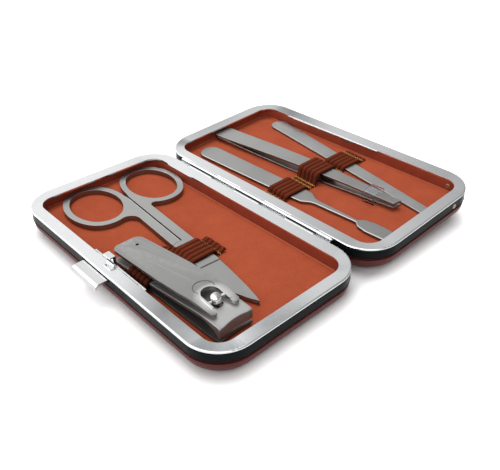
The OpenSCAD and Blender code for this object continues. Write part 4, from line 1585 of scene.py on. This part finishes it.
@dataclass
class Studio:
    """Pale floor, soft light and the photograph's camera."""

    eye: Point3 = (-97.74, -143.96, 127.17)
    target: Point3 = (16.23, -18.90, 10.0)
    roll: float = -0.85
    lens: float = 42.93
    sensor: float = 36.0
    clip: Point2 = (0.005, 20.0)
    floor_size: float = 6.0
    floor_tones: Point2 = (0.955, 0.975)
    # the world: its light, and what only reflections see
    sky_level: float = 0.41
    slope: Point3 = (-0.3, 1.8, 0.3)
    slope_base: float = -0.28
    slope_low: float = 0.4
    slope_high: float = 1.02
    overhead: float = 0.4
    overhead_span: Point2 = (0.82, 0.95)
    window: float = 1.8
    window_across: Point2 = (-0.4, 0.05)
    window_up: Point2 = (0.2, 0.4)
    shade: float = 0.08
    shade_at: Point3 = (0.522, 0.637, 0.567)
    shade_reach: float = 0.085
    # the table's glow, which lifts it to white away from the case and fades out round it by distance in
    # millimetres: the shade near the case is partly the lamps' shadow and partly painted shade where the glow
    # is left out
    glow_near: float = 0.02
    glow_far: float = 0.5
    glow_span: Point2 = (8.6, 14.6)
    glow_mirrored: float = 0.25
    footprint: tuple[Point3, Point3] = ((31.7, -1.4, 0.0), (52.7, 44.5, 1.0))
    # the lamps, in metres and watts
    key_power: float = 4.95
    key_size: float = 0.6
    key_spot: Point3 = (0.10, 0.22, 0.88)
    fill_power: float = 1.4
    fill_size: float = 0.5
    fill_spot: Point3 = (-0.55, -0.25, 0.5)
    lamp_aim: Point3 = (0.03, 0.0, 0.0)

    def camera(self) -> None:
        """Creates the camera that the photograph was taken with."""
        data = bpy.data.cameras.new("photo_camera")
        data.sensor_width = self.sensor
        data.sensor_fit = "HORIZONTAL"
        data.lens = self.lens
        data.clip_start, data.clip_end = self.clip
        piece = bpy.data.objects.new("photo_camera", data)
        bpy.context.scene.collection.objects.link(piece)
        eye, target = Vector(self.eye) * MM, Vector(self.target) * MM
        back = (eye - target).normalized()
        right = Vector((0, 0, 1)).cross(back).normalized()
        up = back.cross(right)
        angle = math.radians(self.roll)
        side = right * math.cos(angle) + up * math.sin(angle)
        top = up * math.cos(angle) - right * math.sin(angle)
        piece.matrix_world = Matrix.Translation(eye) @ Matrix((side, top, back)).transposed().to_4x4()
        bpy.context.scene.camera = piece

    def floor(self) -> None:
        """Lays the white table under the case."""
        half = self.floor_size / 2
        data = bpy.data.meshes.new("table_top")
        corners = [(-half, -half, 0), (half, -half, 0), (half, half, 0), (-half, half, 0)]
        data.from_pydata(corners, [], [(0, 1, 2, 3)])
        piece = bpy.data.objects.new("table_top", data)
        bpy.context.scene.collection.objects.link(piece)
        material = bpy.data.materials.new("table_white")
        material.use_nodes = True
        sheet = NodeSheet(material.node_tree)
        shader = material.node_tree.nodes["Principled BSDF"]
        shader.inputs["Roughness"].default_value = 0.9
        shader.inputs["Specular IOR Level"].default_value = 0.1
        spot = sheet.add("ShaderNodeTexCoord")
        grain = sheet.add("ShaderNodeTexNoise", Scale=40.0, Detail=2.0)
        sheet.join(spot.outputs["Object"], grain, "Vector")
        tones = ((tone, tone, tone) for tone in self.floor_tones)
        sheet.join(sheet.mix(grain.outputs[0], *tones), shader, "Base Color")
        shader.inputs["Emission Color"].default_value = (1.0, 1.0, 1.0, 1.0)
        path = sheet.add("ShaderNodeLightPath")
        seen = sheet.math("MAXIMUM", path.outputs["Is Camera Ray"], path.outputs["Is Transmission Ray"])
        mirrored = sheet.math("MULTIPLY", path.outputs["Is Glossy Ray"], self.glow_mirrored)
        seen = sheet.math("MAXIMUM", seen, mirrored)
        # painted shade: the glow fades out round a box about the case's footprint
        middle, reach = (Vector(p) * MM for p in self.footprint)
        away: bpy.types.NodeSocket = spot.outputs["Object"]
        steps = (("SUBTRACT", middle), ("ABSOLUTE", None), ("SUBTRACT", reach), ("MAXIMUM", Vector()))
        for operation, value in steps:
            step = sheet.add("ShaderNodeVectorMath", operation=operation)
            sheet.tree.links.new(away, step.inputs[0])
            if value is not None:
                step.inputs[1].default_value = value
            away = step.outputs[0]
        length = sheet.add("ShaderNodeVectorMath", operation="LENGTH")
        sheet.tree.links.new(away, length.inputs[0])
        span = (d * MM for d in self.glow_span)
        glow = sheet.spread(length.outputs["Value"], self.glow_near, self.glow_far, *span)
        sheet.join(sheet.math("MULTIPLY", seen, glow), shader, "Emission Strength")
        data.materials.append(material)

    def sky(self) -> None:
        """Makes the surroundings: even light, plain white behind, and a shaded room in reflections."""
        world = bpy.data.worlds.new("studio_white")
        bpy.context.scene.world = world
        world.use_nodes = True
        tree = world.node_tree
        sheet = NodeSheet(tree)
        back = tree.nodes["Background"]
        path = sheet.add("ShaderNodeLightPath")
        spot = sheet.add("ShaderNodeTexCoord")
        slope = sheet.add("ShaderNodeVectorMath", operation="DOT_PRODUCT")
        sheet.tree.links.new(spot.outputs["Generated"], slope.inputs[0])
        slope.inputs[1].default_value = self.slope
        split = sheet.add("ShaderNodeSeparateXYZ")
        sheet.tree.links.new(spot.outputs["Generated"], split.inputs[0])
        level = sheet.math("ADD", slope.outputs["Value"], self.slope_base)
        level = sheet.math("MAXIMUM", sheet.math("MINIMUM", level, self.slope_high), self.slope_low)
        overhead = sheet.spread(split.outputs[2], 0.0, self.overhead, *self.overhead_span)
        across = sheet.spread(split.outputs[0], self.window, 0.0, *self.window_across)
        up = sheet.spread(split.outputs[2], 0.0, 1.0, *self.window_up)
        bright = sheet.math("ADD", sheet.math("ADD", level, overhead), sheet.math("MULTIPLY", across, up))
        away = sheet.add("ShaderNodeVectorMath", operation="DISTANCE")
        sheet.tree.links.new(spot.outputs["Generated"], away.inputs[0])
        away.inputs[1].default_value = self.shade_at
        shaded = sheet.spread(away.outputs["Value"], self.shade, 1.0, 0.0, self.shade_reach)
        bright = sheet.math("MULTIPLY", bright, shaded)
        seen = sheet.math("MAXIMUM", path.outputs["Is Camera Ray"], path.outputs["Is Transmission Ray"])
        plain = sheet.math("MULTIPLY_ADD", seen, 1.0 - self.sky_level)
        plain.inputs[2].default_value = self.sky_level
        rest = sheet.math("MULTIPLY", plain, sheet.math("SUBTRACT", 1.0, path.outputs["Is Glossy Ray"]))
        mirror = sheet.math("MULTIPLY", bright, path.outputs["Is Glossy Ray"])
        back.inputs["Color"].default_value = (1.0, 1.0, 1.0, 1.0)
        sheet.join(sheet.math("ADD", rest, mirror), back, "Strength")

    def lamp(self, name: str, spot: Point3, power: float, size: float) -> None:
        """Hangs a square soft lamp that faces the case.

        Args:
            name: The lamp's name.
            spot: Its place in metres.
            power: Its power in watts.
            size: Its side in metres.
        """
        data = bpy.data.lights.new(name, "AREA")
        data.shape = "SQUARE"
        data.size = size
        data.energy = power
        piece = bpy.data.objects.new(name, data)
        bpy.context.scene.collection.objects.link(piece)
        piece.visible_glossy = False
        piece.location = spot
        aim = Vector(self.lamp_aim) - Vector(spot)
        piece.rotation_euler = aim.to_track_quat("-Z", "Y").to_euler()

    def build(self) -> None:
        """Sets up camera, floor, sky and lamps."""
        self.camera()
        self.floor()
        self.sky()
        self.lamp("key_lamp", self.key_spot, self.key_power, self.key_size)
        self.lamp("fill_lamp", self.fill_spot, self.fill_power, self.fill_size)
        bpy.context.scene.view_settings.view_transform = "Standard"


@dataclass
class ManicureCase:
    """The whole object, in the order in which it is put together."""

    halves: tuple[CaseHalf, ...] = (
        CaseHalf(Side.LEFT, "case_base", "base"),
        CaseHalf(Side.LID, "case_lid", "lid", slot_span=(56.1, 63.1), slot_bottom=-1.75),
    )
    straps: tuple[ElasticStrap, ...] = field(
        default_factory=lambda: (
            ElasticStrap(
                "base_elastic", "base_strap", "case_base", Side.LEFT,
                loops=((-57.8, -43.8, 4.1), (-40.0, -29.6, 2.45)),
                span=(-59.05, -25.2), width=10.6, centre=(-42.0, 47.3),
                stitch_at=(-28.4,), free_end=True, bridge=2.2,
                fan=(-47.0, -43.9, -40.4, -38.4), fan_width=6.6,
            ),
            ElasticStrap(
                "lid_elastic", "lid_strap", "case_lid", Side.LID,
                loops=((12.9, 23.5, 1.65), (29.3, 39.5, 4.65), (45.0, 54.4, 1.35)),
                span=(9.6, 58.2), width=10.8, centre=(34.0, 54.2), yaw=3.0,
                stitch_at=(10.8, 25.2, 27.3, 41.5, 43.0, 56.2),
            ),
        )
    )

    def build(self) -> None:
        """Builds every piece."""
        HardPieces().build()
        for half in self.halves:
            half.build()
        for strap in self.straps:
            strap.build()
        HingeLips().build()
        LeverArc().build()


def main() -> None:
    """Builds the case and the studio."""
    logging.basicConfig(level=logging.INFO, format="%(message)s")
    Studio().build()
    ManicureCase().build()


if __name__ == "__main__":
    main()
